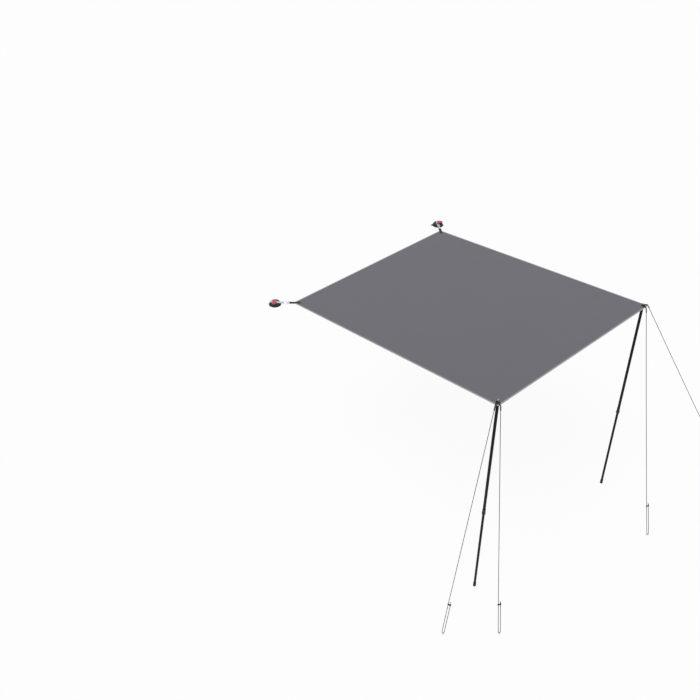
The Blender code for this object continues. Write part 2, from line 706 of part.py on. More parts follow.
def build_pad(end, frame, lever_side, material):
    """Rubber pad: flat sealing face, raised seat for the housing, pocket for the stem's flange."""
    pocket = STEM_FLANGE_RADIUS + STEM_RUNNING_GAP
    seat = HOUSING_RADIUS + PAD_SEAT_MARGIN
    skirt = seat + PAD_RIM_THICKNESS
    profile = (
        (0, 0),
        (PAD_RADIUS - PAD_EDGE_CHAMFER, 0),
        (PAD_RADIUS, PAD_RIM_THICKNESS / 2),
        (PAD_RADIUS - PAD_EDGE_CHAMFER, PAD_RIM_THICKNESS),
        (skirt, PAD_THICKNESS - PAD_RIM_THICKNESS),
        (seat, PAD_THICKNESS),
        (pocket, PAD_THICKNESS),
        (pocket, PAD_FLOOR),
        (0, PAD_FLOOR),
    )
    pad = add_object(f"{end}_cup_pad", lathe("pad", profile, CUP_SEGMENTS), material, frame)
    half = TAB_WIDTH / 2
    tip = PAD_RADIUS + TAB_LENGTH
    round_by = TAB_CORNER_RADIUS
    outline = [(-half, skirt), (half, skirt)]
    outline += arc((half - round_by, tip - round_by), round_by, 0, 90, 3)
    outline += arc((round_by - half, tip - round_by), round_by, 90, 180, 3)
    turn = Matrix.Rotation(math.pi if lever_side > 0 else 0, 4, "Z")
    tab = prism("tab", outline, TAB_LIFT, TAB_LIFT + TAB_THICKNESS, turn)
    combine(pad, "UNION", [tab])


def build_housing(end, frame, material):
    """Moulded cover: an open shell whose ribs tie its wall to the hub that guides the stem."""
    wall = HOUSING_WALL
    half = HOUSING_RIB_THICKNESS / 2
    shoulder = HOUSING_RADIUS - HOUSING_DRAFT
    top = shoulder - HOUSING_SHOULDER_WIDTH
    inner_top = top - wall / 2
    profile = (
        (HOUSING_RADIUS, HOUSING_BASE),
        (shoulder, HOUSING_SHOULDER),
        (shoulder - HOUSING_SHOULDER_WIDTH * 0.3, HOUSING_HEIGHT - HOUSING_SHOULDER_DROP * 0.3),
        (top, HOUSING_HEIGHT),
        (HUB_BORE_RADIUS, HOUSING_HEIGHT),
        (HUB_BORE_RADIUS, HUB_BOTTOM),
        (HUB_RADIUS, HUB_BOTTOM),
        (HUB_RADIUS, HOUSING_CEILING),
        (inner_top, HOUSING_CEILING),
        (shoulder - wall, HOUSING_SHOULDER - wall / 2),
        (HOUSING_RADIUS - wall, HOUSING_BASE),
    )
    mesh = lathe("housing", profile, CUP_SEGMENTS)
    housing = add_object(f"{end}_cup_housing", mesh, material, frame)
    bottom = HUB_BOTTOM + STEM_RUNNING_GAP
    inside = HUB_RADIUS - half
    outside = shoulder - wall / 2
    outline = (
        (inside, bottom),
        (outside, bottom),
        (outside, HOUSING_SHOULDER - half),
        (inner_top - half, HOUSING_CEILING + half),
        (inside, HOUSING_CEILING + half),
    )
    ribs = []
    for index in range(HOUSING_RIBS):
        rib = side_prism("rib", outline, half)
        turn = math.tau * index / HOUSING_RIBS
        rib.transform(Matrix.Rotation(turn, 4, "Z"))
        ribs.append(rib)
    combine(housing, "UNION", ribs)
    combine(housing, "DIFFERENCE", rivet_holes())


def rivet_holes():
    """Cutters for the two rivets that hold the plate on the housing."""
    holes = []
    for side in (-1, 1):
        start = (side * RIVET_DISTANCE, 0, HOUSING_CEILING - HOUSING_WALL)
        end = (side * RIVET_DISTANCE, 0, PLATE_TOP + HOUSING_WALL)
        holes.append(rod(RIVET_HOLE_RADIUS, start, end))
    return holes


def build_hook_plate(end, frame, material):
    """Stainless plate under the cam, with a round tail and a tongue that holds the hook's eye."""
    half = PLATE_WIDTH / 2
    tongue = PLATE_EYE_RADIUS + PLATE_EYE_MARGIN
    outline = arc((PLATE_EYE_DISTANCE, 0), tongue, -80, 80, 8)
    outline += [(PLATE_NECK, half)]
    outline += arc((half - PLATE_TAIL, 0), half, 90, 270, 8)
    outline += [(PLATE_NECK, -half)]
    mesh = prism("hook_plate", outline, PLATE_BOTTOM, PLATE_TOP)
    plate = add_object(f"{end}_cup_hook_plate", mesh, material, frame)
    over = PLATE_THICKNESS
    stem_hole = rod(HUB_BORE_RADIUS, (0, 0, PLATE_BOTTOM - over), (0, 0, PLATE_TOP + over), 16)
    eye = (PLATE_EYE_DISTANCE, 0, PLATE_BOTTOM - over)
    eye_hole = rod(PLATE_EYE_RADIUS, eye, (PLATE_EYE_DISTANCE, 0, PLATE_TOP + over), 20)
    combine(plate, "DIFFERENCE", [stem_hole, eye_hole] + rivet_holes())


def build_rivets(end, frame, material):
    """Two domed rivets through plate and housing, by the plate's eye and by its tail."""
    head = PLATE_TOP + GAP
    foot = HOUSING_CEILING - GAP
    profile = (
        (0, foot - RIVET_FOOT),
        (RIVET_FOOT_RADIUS, foot - RIVET_FOOT),
        (RIVET_FOOT_RADIUS, foot),
        (RIVET_RADIUS, foot),
        (RIVET_RADIUS, head),
        (RIVET_HEAD_RADIUS, head),
        (RIVET_FOOT_RADIUS, head + RIVET_HEAD / 2),
        (0, head + RIVET_HEAD),
    )
    for side, place in ((1, "eye"), (-1, "tail")):
        mesh = lathe("rivet", profile, SMALL_SEGMENTS)
        rivet = add_object(f"{end}_cup_rivet_{place}", mesh, material, frame)
        rivet.location = (side * RIVET_DISTANCE, 0, 0)


def build_stem(end, frame, material):
    """Flanged stem that the lever draws up, with a flat-sided head bored for the pin."""
    pivot = PIVOT_HEIGHT
    head_base = pivot - STEM_HEAD_DROP
    flange_top = FLANGE_BOTTOM + STEM_FLANGE_THICKNESS
    neck = head_base + STEM_HEAD_DROP / 4
    profile = (
        (0, FLANGE_BOTTOM),
        (STEM_FLANGE_RADIUS, FLANGE_BOTTOM),
        (STEM_FLANGE_RADIUS, flange_top),
        (STEM_RADIUS, flange_top),
        (STEM_RADIUS, neck),
        (0, neck),
    )
    stem = add_object(f"{end}_cup_stem", lathe("stem", profile, 20), material, frame)
    outline = [(-STEM_HEAD_RADIUS, head_base), (STEM_HEAD_RADIUS, head_base)]
    outline += arc((0, pivot), STEM_HEAD_RADIUS, 0, 180, 8)
    head = side_prism("head", outline, STEM_HEAD_WIDTH / 2)
    combine(stem, "UNION", [head])
    ends = (-STEM_HEAD_WIDTH, 0, pivot), (STEM_HEAD_WIDTH, 0, pivot)
    bore = rod(LEVER_PIN_RADIUS + GAP, *ends)
    combine(stem, "DIFFERENCE", [bore])


def build_lever_pin(end, frame, material):
    """Headed pin that the lever turns on."""
    half = LEVER_HUB_HALF_WIDTH + GAP
    profile = (
        (0, -half - LEVER_PIN_HEAD),
        (LEVER_PIN_HEAD_RADIUS, -half - LEVER_PIN_HEAD / 2),
        (LEVER_PIN_HEAD_RADIUS, -half),
        (LEVER_PIN_RADIUS, -half),
        (LEVER_PIN_RADIUS, half),
        (LEVER_PIN_HEAD_RADIUS, half),
        (LEVER_PIN_HEAD_RADIUS, half + LEVER_PIN_HEAD / 2),
        (0, half + LEVER_PIN_HEAD),
    )
    pin = add_object(f"{end}_cup_lever_pin", lathe("pin", profile, SMALL_SEGMENTS), material, frame)
    pin.location = (0, 0, PIVOT_HEIGHT)
    pin.rotation_euler = (0, math.radians(90), 0)


def cam_outline():
    """Side view of the lever about its pin, handle forwards.

    The cam is the involute of a small circle, so the stem's rise is in proportion to the swing.
    """
    gain = LEVER_LIFT / LEVER_SWING
    released = CAM_RELEASED_RADIUS
    points = [(CAM_FLAT, -CAM_LOCKED_RADIUS)]
    for step in range(CAM_STEPS + 1):
        swung = LEVER_SWING * step / CAM_STEPS
        radius = CAM_LOCKED_RADIUS - gain * swung
        angle = -math.pi / 2 - swung
        points.append((
            radius * math.cos(angle) - gain * math.sin(angle),
            radius * math.sin(angle) + gain * math.cos(angle),
        ))
    back = math.degrees(-math.pi / 2 - LEVER_SWING) + 360
    points += arc((0, 0), released, back, 90, 5)
    points += [handle_point(share, 0) for share in (0.4, 0.65, 0.85, 1.0)]
    points += [handle_point(share, 1) for share in (1.0, 0.85, 0.6, 0.35)]
    return points


def handle_point(share, side):
    """Point of the handle's side view, a share of its length out, on its top or its underside.

    The top arches down to the tip, and the handle thickens towards the cam.
    """
    top = CAM_RELEASED_RADIUS - LEVER_DROP * share ** 2
    thickness = LEVER_TIP_THICKNESS + (CAM_LOCKED_RADIUS - LEVER_TIP_THICKNESS) * (1 - share) ** 0.8
    return LEVER_LENGTH * share, top - thickness * side


def build_lever(end, frame, side, material):
    """Red cam lever: two cam cheeks that straddle the stem and a wide, ribbed handle."""
    yaw = Matrix.Rotation(0 if side > 0 else math.pi, 3, "Z")
    axis = add_frame(f"{end}_lever_axis", (0, 0, PIVOT_HEIGHT), yaw, frame)
    half = LEVER_HALF_WIDTH
    hub = LEVER_HUB_HALF_WIDTH
    tall = LEVER_LENGTH
    mesh = side_prism("lever", cam_outline(), half)
    lever = add_object(f"{end}_cup_lever", mesh, material, axis)
    flare = LEVER_SLOT_DEPTH + LEVER_WALL
    tip = (half - LEVER_TIP_RADIUS, LEVER_LENGTH - LEVER_TIP_RADIUS)
    plan = [(-hub, -tall), (hub, -tall), (hub, flare), (half, flare + half - hub)]
    plan += arc(tip, LEVER_TIP_RADIUS, 0, 90, 4)
    plan += arc((-tip[0], tip[1]), LEVER_TIP_RADIUS, 90, 180, 4)
    plan += [(-half, flare + half - hub), (-hub, flare)]
    combine(lever, "INTERSECT", [prism("plan", plan, -tall, tall)])

    slot = STEM_HEAD_WIDTH / 2 + GAP
    stem_slot = block((-slot, -tall, -tall), (slot, LEVER_SLOT_DEPTH, tall))
    bore = rod(LEVER_PIN_RADIUS + GAP, (-tall, 0, 0), (tall, 0, 0))
    cuts = [stem_slot, bore]
    pitch = (2 * half - LEVER_WALL) / LEVER_POCKETS
    shares = (0.42, 0.62, 0.82)
    hollow = [(y, z - LEVER_WALL) for y, z in (handle_point(share, 0) for share in shares)]
    hollow += [(LEVER_LENGTH * shares[2], -tall), (LEVER_LENGTH * shares[0], -tall)]
    for index in range(LEVER_POCKETS):
        centre = (index + 0.5) * pitch - half + LEVER_WALL / 2
        pocket = side_prism("pocket", hollow, (pitch - LEVER_WALL) / 2)
        pocket.transform(Matrix.Translation((centre, 0, 0)))
        cuts.append(pocket)
    combine(lever, "DIFFERENCE", cuts)


def build_cup(end, frames, pieces):
    """One vacuum cup, from the pad on the roof up to the lever."""
    frame = add_frame(f"{end}_cup", frames.cup[end], frames.cup_rotation(end))
    side = frames.lever_side[end]
    build_pad(end, frame, side, pieces["rubber"])
    build_housing(end, frame, pieces["black"])
    build_hook_plate(end, frame, pieces["steel"])
    build_rivets(end, frame, pieces["steel"])
    build_stem(end, frame, pieces["dark"])
    build_lever_pin(end, frame, pieces["steel"])
    build_lever(end, frame, side, pieces["red"])


def build_chain(end, frames, pieces):
    """Hook, D-ring and webbing between a cup and its sheet corner."""
    start = frames.cup[end] + frames.seat(end)
    frame = add_frame(f"{end}_chain", start, frames.hook_rotation(end))
    build_snap_hook(end, frame, pieces)
    build_d_ring(end, frame, pieces["steel"])
    build_corner_strap(end, frame, pieces["webbing"])


def build_sheet(frames, pieces):
    """Sheet with its binding, patches and eyelets."""
    frame = add_frame("sheet", frames.corner["front"], frames.tilt)
    build_panel(frame, frames, pieces["cloth"])
    build_binding(frame, pieces["tape"])
    for end in ("front", "rear"):
        place = add_frame(f"{end}_eyelet_place", frames.eyelet(end), Matrix.Identity(3), frame)
        build_eyelet(end, place, pieces["steel"])


def tube(name, outer, inner, low, high):
    """Plain tube."""
    profile = ((outer, low), (outer, high), (inner, high), (inner, low))
    return lathe(name, profile, POLE_SEGMENTS)


def build_spigot(end, frame, material):
    """Steel spike that passes up through the eyelet."""
    tip = arc((0, SPIGOT_STICKOUT - SPIGOT_RADIUS), SPIGOT_RADIUS, 0, 90, 3)
    profile = [(0, -SPIGOT_SEAT_DEPTH), (SPIGOT_RADIUS, -SPIGOT_SEAT_DEPTH)] + tip
    add_object(f"{end}_pole_spigot", lathe("spigot", profile, 16), material, frame)


def build_top_plug(end, frame, material):
    """Plug with a coned shoulder, so that the pole can lean under a sheet that slopes."""
    bore = SPIGOT_RADIUS + GAP
    skirt = UPPER_BORE_RADIUS - GAP
    fall = (UPPER_TUBE_RADIUS - bore) * math.tan(PLUG_TILT + PLUG_RELIEF)
    bottom = TUBE_TOP - PLUG_SKIRT
    profile = (
        (0, bottom),
        (skirt - PLUG_LEAD_IN, bottom),
        (skirt, bottom + 3 * PLUG_LEAD_IN),
        (skirt, PLUG_COLLAR_BOTTOM),
        (UPPER_TUBE_RADIUS, PLUG_COLLAR_BOTTOM),
        (UPPER_TUBE_RADIUS, PLUG_SHOULDER - fall),
        (bore, PLUG_SHOULDER),
        (bore, -SPIGOT_SEAT_DEPTH - GAP),
        (0, -SPIGOT_SEAT_DEPTH - GAP),
    )
    add_object(f"{end}_pole_top_plug", lathe("top_plug", profile, POLE_SEGMENTS), material, frame)


def build_collet(end, frame, material):
    """Sleeve on the upper tube's end, with slotted fingers round the lower tube."""
    socket = UPPER_TUBE_RADIUS + GAP
    outside = socket + COLLET_WALL
    top = UPPER_TUBE_END + COLLET_GRIP
    profile = (
        (socket, top),
        (socket, UPPER_TUBE_END - GAP),
        (SLEEVE_BORE_RADIUS, UPPER_TUBE_END - GAP),
        (SLEEVE_BORE_RADIUS, COLLET_END),
        (COLLET_FINGER_TIP_RADIUS, COLLET_END),
        (COLLET_FINGER_TOP_RADIUS, COLLET_NECK_END),
        (outside, COLLET_NECK_END),
        (outside, top - COLLET_WALL * 2),
        (outside - COLLET_WALL / 2, top),
    )
    mesh = lathe("collet", profile, POLE_SEGMENTS)
    collet = add_object(f"{end}_pole_collet", mesh, material, frame)
    slots = []
    for index in range(COLLET_SLOTS):
        half = COLLET_SLOT_WIDTH / 2
        low = (LOWER_TUBE_RADIUS / 2, -half, COLLET_END - half)
        high = (outside, half, COLLET_NECK_END - COLLET_NECK / 2)
        slot = block(low, high)
        slot.transform(Matrix.Rotation(math.tau * (index + 0.5) / COLLET_SLOTS, 4, "Z"))
        slots.append(slot)
    combine(collet, "DIFFERENCE", slots)


def build_lock_ring(end, frame, material):
    """Twist ring with grip ribs that squeezes the collet's fingers on the lower tube."""
    valley = COLLET_FINGER_TOP_RADIUS + GAP + LOCK_RING_WALL
    crest = valley + LOCK_RING_RIB_HEIGHT
    outline = []
    for index in range(LOCK_RING_RIBS):
        for share, radius in ((0.0, valley), (0.45, valley), (0.6, crest), (0.85, crest)):
            angle = math.tau * (index + share) / LOCK_RING_RIBS
            outline.append((radius * math.cos(angle), radius * math.sin(angle)))
    mesh = prism("lock_ring", outline, LOCK_RING_END, LOCK_RING_TOP)
    ring = add_object(f"{end}_pole_lock_ring", mesh, material, frame)
    bore = (
        (0, LOCK_RING_END - LOCK_RING_LIP),
        (SLEEVE_BORE_RADIUS, LOCK_RING_END - LOCK_RING_LIP),
        (SLEEVE_BORE_RADIUS, COLLET_END - GAP),
        (COLLET_FINGER_TIP_RADIUS + GAP, COLLET_END - GAP),
        (COLLET_FINGER_TOP_RADIUS + GAP, COLLET_NECK_END),
        (COLLET_FINGER_TOP_RADIUS + GAP, COLLET_NECK_END + LOCK_RING_LIP),
        (0, COLLET_NECK_END + LOCK_RING_LIP),
    )
    combine(ring, "DIFFERENCE", [lathe("bore", bore, POLE_SEGMENTS)])


def build_guide_bush(end, frame, material):
    """Bush in the lower tube's top, which centres it in the upper tube."""
    collar = UPPER_BORE_RADIUS - GAP
    skirt = LOWER_BORE_RADIUS - GAP
    bore = skirt - BUSH_WALL
    base = LOWER_TUBE_TOP + GAP
    profile = (
        (bore, base - BUSH_SKIRT),
        (skirt, base - BUSH_SKIRT),
        (skirt, base),
        (collar, base),
        (collar, base + BUSH_COLLAR),
        (bore, base + BUSH_COLLAR),
    )
    mesh = lathe("guide_bush", profile, POLE_SEGMENTS)
    add_object(f"{end}_pole_guide_bush", mesh, material, frame)


def build_foot(end, frame, ground, material):
    """Rubber foot with a flat sole and grip grooves."""
    widest = SLEEVE_BORE_RADIUS + FOOT_WALL
    top = ground + FOOT_HEIGHT
    profile = [(0, ground), (widest - FOOT_SOLE_CHAMFER, ground), (widest, ground + FOOT_SOLE / 2)]
    pitch = (FOOT_HEIGHT - 2 * FOOT_SOLE) / FOOT_GROOVES
    for index in range(FOOT_GROOVES):
        level = ground + FOOT_SOLE + pitch * (index + 0.5)
        side = widest - FOOT_TAPER * (level - ground) / FOOT_HEIGHT
        profile.append((side, level - FOOT_GROOVE_WIDTH / 2))
        profile.append((side - FOOT_GROOVE_DEPTH, level))
        profile.append((side, level + FOOT_GROOVE_WIDTH / 2))
    profile += [
        (widest - FOOT_TAPER, top),
        (SLEEVE_BORE_RADIUS, top),
        (SLEEVE_BORE_RADIUS, ground + FOOT_SOLE),
        (0, ground + FOOT_SOLE),
    ]
    add_object(f"{end}_pole_foot", lathe("foot", profile, POLE_SEGMENTS), material, frame)


def build_pole(end, frames, pieces):
    """Two-section pole that hangs from its pivot in the eyelet down to the ground."""
    top = frames.pole_top(end)
    frame = add_frame(f"{end}_pole_pivot", top, Matrix.Identity(3))
    ground = -ROOF_HEIGHT - top.z
    build_spigot(end, frame, pieces["steel"])
    build_top_plug(end, frame, pieces["black"])
    mesh = tube("upper_tube", UPPER_TUBE_RADIUS, UPPER_BORE_RADIUS, UPPER_TUBE_END, TUBE_TOP)
    add_object(f"{end}_pole_upper_tube", mesh, pieces["coated"], frame)
    build_collet(end, frame, pieces["black"])
    build_lock_ring(end, frame, pieces["black"])
    build_guide_bush(end, frame, pieces["nylon"])
    low = ground + FOOT_SOLE + GAP
    mesh = tube("lower_tube", LOWER_TUBE_RADIUS, LOWER_BORE_RADIUS, low, LOWER_TUBE_TOP)
    add_object(f"{end}_pole_lower_tube", mesh, pieces["coated"], frame)
    build_foot(end, frame, ground, pieces["rubber"])


class Guy:
    """Directions and places of one guy rope, from a pole's spigot to its peg."""

    def __init__(self, frames, end, layer, offset):
        self.pivot = frames.pole_top(end)
        self.layer = layer
        outwards = Vector((*offset, 0)).normalized()
        self.up = frames.tilt @ Vector((0, 0, 1))
        self.sheet_out = (outwards - self.up * outwards.dot(self.up)).normalized()
        self.sheet_across = self.up.cross(self.sheet_out)
        ground = Vector((self.pivot.x + offset[0], self.pivot.y + offset[1], -ROOF_HEIGHT))
        self.arch = ground + Vector((0, 0, PEG_ARCH_HEIGHT))
        bend = self.at_top(EYE_ROUTE[-1][0], 0, EYE_ROUTE[-1][2])
        self.along = (bend - self.arch).normalized()
        self.across = self.along.cross(Vector((0, 0, 1))).normalized()
        self.out = self.across.cross(Vector((0, 0, 1)))
        self.knot = bend - self.along * EYE_DROP
        seat = PEG_ARCH_RADIUS - PEG_RADIUS - GAP - ROPE_RADIUS
        self.turn = self.arch + self.along * (seat + ROPE_TURN_RADIUS)

    def at_top(self, outwards, sideways, height):
        """Point near the spigot."""
        return (
            self.pivot + self.sheet_out * outwards + self.sheet_across * sideways + self.up * height
        )

    def at_peg(self, along, sideways):
        """Point on the turned-back end, from the middle of the rope's turn round the peg."""
        return self.turn + self.along * along + self.across * sideways

    def eye(self):
        """Route of the eye: up from the knot, over the sheet's edge, round the spigot and back."""
        halves = []
        for side in (1, -1):
            half = []
            for outwards, sideways, *heights in EYE_ROUTE:
                half.append(self.at_top(outwards, side * sideways, heights[self.layer]))
            leg = self.across * side * EYE_ROUTE[-1][1]
            half.append(self.knot + self.along * EYE_DROP / 2 + leg)
            half.append(self.knot - self.along * KNOT_LENGTH / 3 + leg)
            halves.append(half)
        return smooth_route(halves[0][::-1] + halves[1][1:], ROPE_POINT_SPACING)

    def strand(self):
        """Route of the rope, its knots as swells, from the eye to its tail.

        It runs down to the peg, turns round it and comes back up through the runner.
        """
        points = []
        for share, size in EYE_KNOT:
            place = self.knot - self.along * KNOT_LENGTH * share
            points.append((*place, KNOT_SWELL * size))
        side = ROPE_TURN_RADIUS
        start = self.knot - self.along * (KNOT_LENGTH + ROPE_RADIUS / 2)
        end = self.at_peg(RUNNER_DISTANCE * 1.2, -side)
        for share in STRAND_SHARES:
            sag = Vector((0, 0, -4 * STRAND_SAG * share * (1 - share)))
            points.append((*(start.lerp(end, share) + sag), 1.0))
        points += [(*self.at_peg(RUNNER_DISTANCE * share, -side), 1.0) for share in (1.1, 0.5)]
        turned = arc((0, 0), side, 180, 360, 8)
        points += [(*self.at_peg(along, sideways), 1.0) for sideways, along in turned]
        base = RUNNER_DISTANCE + RUNNER_THICKNESS / 2 + 2 * GAP
        points += [(*self.at_peg(along, side), 1.0) for along in (RUNNER_DISTANCE / 2, base)]
        for share, size in STOPPER_KNOT:
            place = self.at_peg(base + STOPPER_LENGTH * share, side)
            points.append((*place, STOPPER_SWELL * size))
        for length in (STOPPER_LENGTH, STOPPER_LENGTH + ROPE_TAIL):
            points.append((*self.at_peg(base + length, side), 1.0))
        return points


def tube_mesh(name, route, radius):
    """Closed mesh of a round tube along a route."""
    holder = bpy.data.objects.new("holder", wire_curve(name, [route], radius, 2))
    bpy.context.collection.objects.link(holder)
    bpy.context.view_layer.update()
    shaped = holder.evaluated_get(bpy.context.evaluated_depsgraph_get())
    mesh = bpy.data.meshes.new_from_object(shaped)
    bpy.data.objects.remove(holder, do_unlink=True)
    bm = bmesh.new()
    bm.from_mesh(mesh)
    return finish_mesh(name, bm)


def build_rope(name, guy, world, material):
    """Rope in one node: the tube from the knot to the tail, joined to the eye in its knot."""
    mesh = tube_mesh(name, guy.strand(), ROPE_RADIUS)
    rope = add_object(f"{name}_rope", mesh, material, world)
    combine(rope, "UNION", [tube_mesh(name, guy.eye(), ROPE_RADIUS)])


def build_runner(name, guy, world, material):
    """Two-hole runner that the rope passes down and comes back up through."""
    reach = ROPE_TURN_RADIUS
    outline = arc((reach, 0), RUNNER_END_RADIUS, -90, 90, 5)
    outline += arc((-reach, 0), RUNNER_END_RADIUS, 90, 270, 5)
    half = RUNNER_THICKNESS / 2
    rotation = Matrix((guy.across, guy.along.cross(guy.across), guy.along)).transposed()
    frame = add_frame(f"{name}_runner_place", guy.at_peg(RUNNER_DISTANCE, 0), rotation, world)
    mesh = prism("runner", outline, -half, half)
    runner = add_object(f"{name}_runner", mesh, material, frame)
    holes = []
    for side in (-reach, reach):
        start, end = (side, 0, -RUNNER_THICKNESS), (side, 0, RUNNER_THICKNESS)
        holes.append(rod(ROPE_RADIUS + GAP, start, end))
    combine(runner, "DIFFERENCE", holes)


def build_peg(name, guy, world, material):
    """Steel peg whose hook opens away from the pole."""
    rotation = Matrix((guy.out, guy.across, Vector((0, 0, 1)))).transposed()
    rotation = rotation @ Matrix.Rotation(PEG_LEAN, 3, "Y")
    frame = add_frame(f"{name}_peg_place", guy.arch, rotation, world)
    bend = PEG_ARCH_RADIUS
    point = PEG_LENGTH - PEG_POINT_LENGTH
    route = [(-bend, 0, -PEG_LENGTH, 0.2), (-bend, 0, -point, 1.0)]
    route += [(x, 0, z) for x, z in arc((0, 0), bend, 180, 0, 6)]
    route.append((bend, 0, -PEG_TIP_LENGTH))
    curve = wire_curve("peg", [route], PEG_RADIUS, 2)
    add_object(f"{name}_peg", curve, material, frame)


def build_guys(frames, pieces):
    """Four guys, each with its rope, runner and peg."""
    world = add_frame("guys", (0, 0, 0), Matrix.Identity(3))
    for end, side, layer, offset in GUYS:
        guy = Guy(frames, end, layer, offset)
        name = f"{end}_{side}_guy"
        build_rope(name, guy, world, pieces["rope"])
        build_runner(name, guy, world, pieces["black"])
        build_peg(name, guy, world, pieces["steel"])


def main():
    """Builds the whole awning."""
    clear_scene()
    pieces = {
        "cloth": make_material("cloth", (0.165, 0.160, 0.182), 0.85),
        "tape": make_material("tape", (0.30, 0.30, 0.32), 0.8),
        "webbing": make_material("webbing", (0.02, 0.02, 0.022), 0.85),
        "rope": make_material("rope", (0.015, 0.015, 0.017), 0.8),
        "rubber": make_material("rubber", (0.02, 0.02, 0.022), 0.6),
        "black": make_material("black", (0.03, 0.03, 0.034), 0.4),
        "nylon": make_material("nylon", (0.75, 0.75, 0.72), 0.5),
        "red": make_material("red", (0.62, 0.05, 0.08), 0.35),
        "steel": make_material("steel", (0.72, 0.72, 0.74), 0.25, 1.0),
        "dark": make_material("dark", (0.20, 0.20, 0.21), 0.4, 1.0),
        "coated": make_material("coated", (0.018, 0.018, 0.02), 0.35, 0.2),
    }
    frames = Frames()
    build_sheet(frames, pieces)
    for end in ("front", "rear"):
        build_cup(end, frames, pieces)
        build_chain(end, frames, pieces)
        build_pole(end, frames, pieces)
    build_guys(frames, pieces)


main()
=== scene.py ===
"""Looks of the side awning: cloth, cords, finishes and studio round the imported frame.

Lengths are metres in the row frame. +X runs along the sheet's inner edge from the front cup to
the rear one, -Y points from the cups to the poles, and +Z is up.
"""
from __future__ import annotations

import json
import logging
import math
from dataclasses import dataclass
from enum import Enum
from functools import cache
from typing import Sequence

import bmesh
import bpy
from bpy.types import Material, Mesh, Node, NodeSocket, NodeTree, Object
from mathutils import Matrix, Vector, noise

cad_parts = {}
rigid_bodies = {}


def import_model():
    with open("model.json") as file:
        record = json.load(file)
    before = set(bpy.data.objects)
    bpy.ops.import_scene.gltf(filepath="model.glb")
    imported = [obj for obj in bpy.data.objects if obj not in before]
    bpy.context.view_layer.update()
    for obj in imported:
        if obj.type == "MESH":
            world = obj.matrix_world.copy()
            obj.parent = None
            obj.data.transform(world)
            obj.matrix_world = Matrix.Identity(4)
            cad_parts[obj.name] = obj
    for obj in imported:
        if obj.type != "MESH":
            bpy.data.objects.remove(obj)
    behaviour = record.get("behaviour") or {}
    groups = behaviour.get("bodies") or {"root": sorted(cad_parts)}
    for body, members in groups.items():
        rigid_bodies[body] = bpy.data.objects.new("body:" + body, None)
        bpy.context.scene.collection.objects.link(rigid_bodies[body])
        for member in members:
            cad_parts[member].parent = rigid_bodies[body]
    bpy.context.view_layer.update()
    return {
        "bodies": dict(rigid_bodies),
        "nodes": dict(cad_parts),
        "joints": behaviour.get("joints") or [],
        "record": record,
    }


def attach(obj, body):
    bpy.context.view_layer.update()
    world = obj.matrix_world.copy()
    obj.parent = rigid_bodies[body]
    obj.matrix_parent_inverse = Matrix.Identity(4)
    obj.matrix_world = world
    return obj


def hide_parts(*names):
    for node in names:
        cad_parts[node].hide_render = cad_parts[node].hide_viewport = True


LOG = logging.getLogger("awning")
ROOT_BODY = "sheet_and_cups"
GROUND = -1.850
GAP = 0.0003
MERGE = 0.000005
SHARP, SMOOTHER = 35.0, 50.0
# How the shader groups draw threads, pebbles, drawn lines, dust and scuffs.
THREAD_FILL = 2.5
FINE_PEBBLES, FINE_SHARE = 2.0, 0.5
DRAWN_OUT = (0.06, 0.06, 1.0)
SPECKS, SCUFFS = 6.0, 4.0
SCUFF_DRAG, SCUFF_START, SCUFF_EDGE = (1.0, 1.0, 0.15), 0.62, 6.0
# How far a corner's rounding may reach, and the shape of stitches and of cords' ends.
CORNER_ROOM = 0.45
STITCH_GAP, STITCH_RISE, STITCH_SINK = 0.09, 0.6, 0.5
DOME_ANGLE, DOME_RINGS = math.radians(88), 4
# Places of a colour Mix node's sockets, which share their names with its other kinds.
COLOUR_A, COLOUR_B, COLOUR_OUT = 6, 7, 2
WORLD = Matrix.Identity(4)
UP = Vector((0, 0, 1))
UPRIGHT = Matrix.Rotation(math.radians(90), 4, "X")
SIDEWAYS = Matrix(((0, 0, 1, 0), (1, 0, 0, 0), (0, 1, 0, 0), (0, 0, 0, 1)))

Point = Sequence[float]
Pair = tuple[float, float]
Row = tuple[float, ...]
# (outwards, up) places of a moulding's outline, from where it starts.
Steps = tuple[Pair, ...]


class End(Enum):
    """Which end of the sheet's inner edge."""

    FRONT = "front"
    REAR = "rear"


class Surface(Enum):
    """Kind of relief that a finish has."""

    WOVEN = "woven"
    WEBBING = "webbing"
    BRAIDED = "braided"
    MOULDED = "moulded"
    DRAWN = "drawn"


@dataclass(frozen=True)
class Finish:
    """One finish: its colour, gloss and the relief of its surface."""

    name: str
    slot: str
    colour: tuple[float, float, float]
    roughness: float
    surface: Surface
    pitch: float
    relief: float
    mottle: float
    patch: float
    dust: float = 0.0
    metallic: float = 0.0
    sheen: float = 0.0
    coat: float = 0.0
    specular: float = 0.5

    def tint(self, share: float) -> tuple[float, ...]:
        """Gives the colour, made lighter or darker by a share."""
        return (*[min(1.0, value * share) for value in self.colour], 1.0)


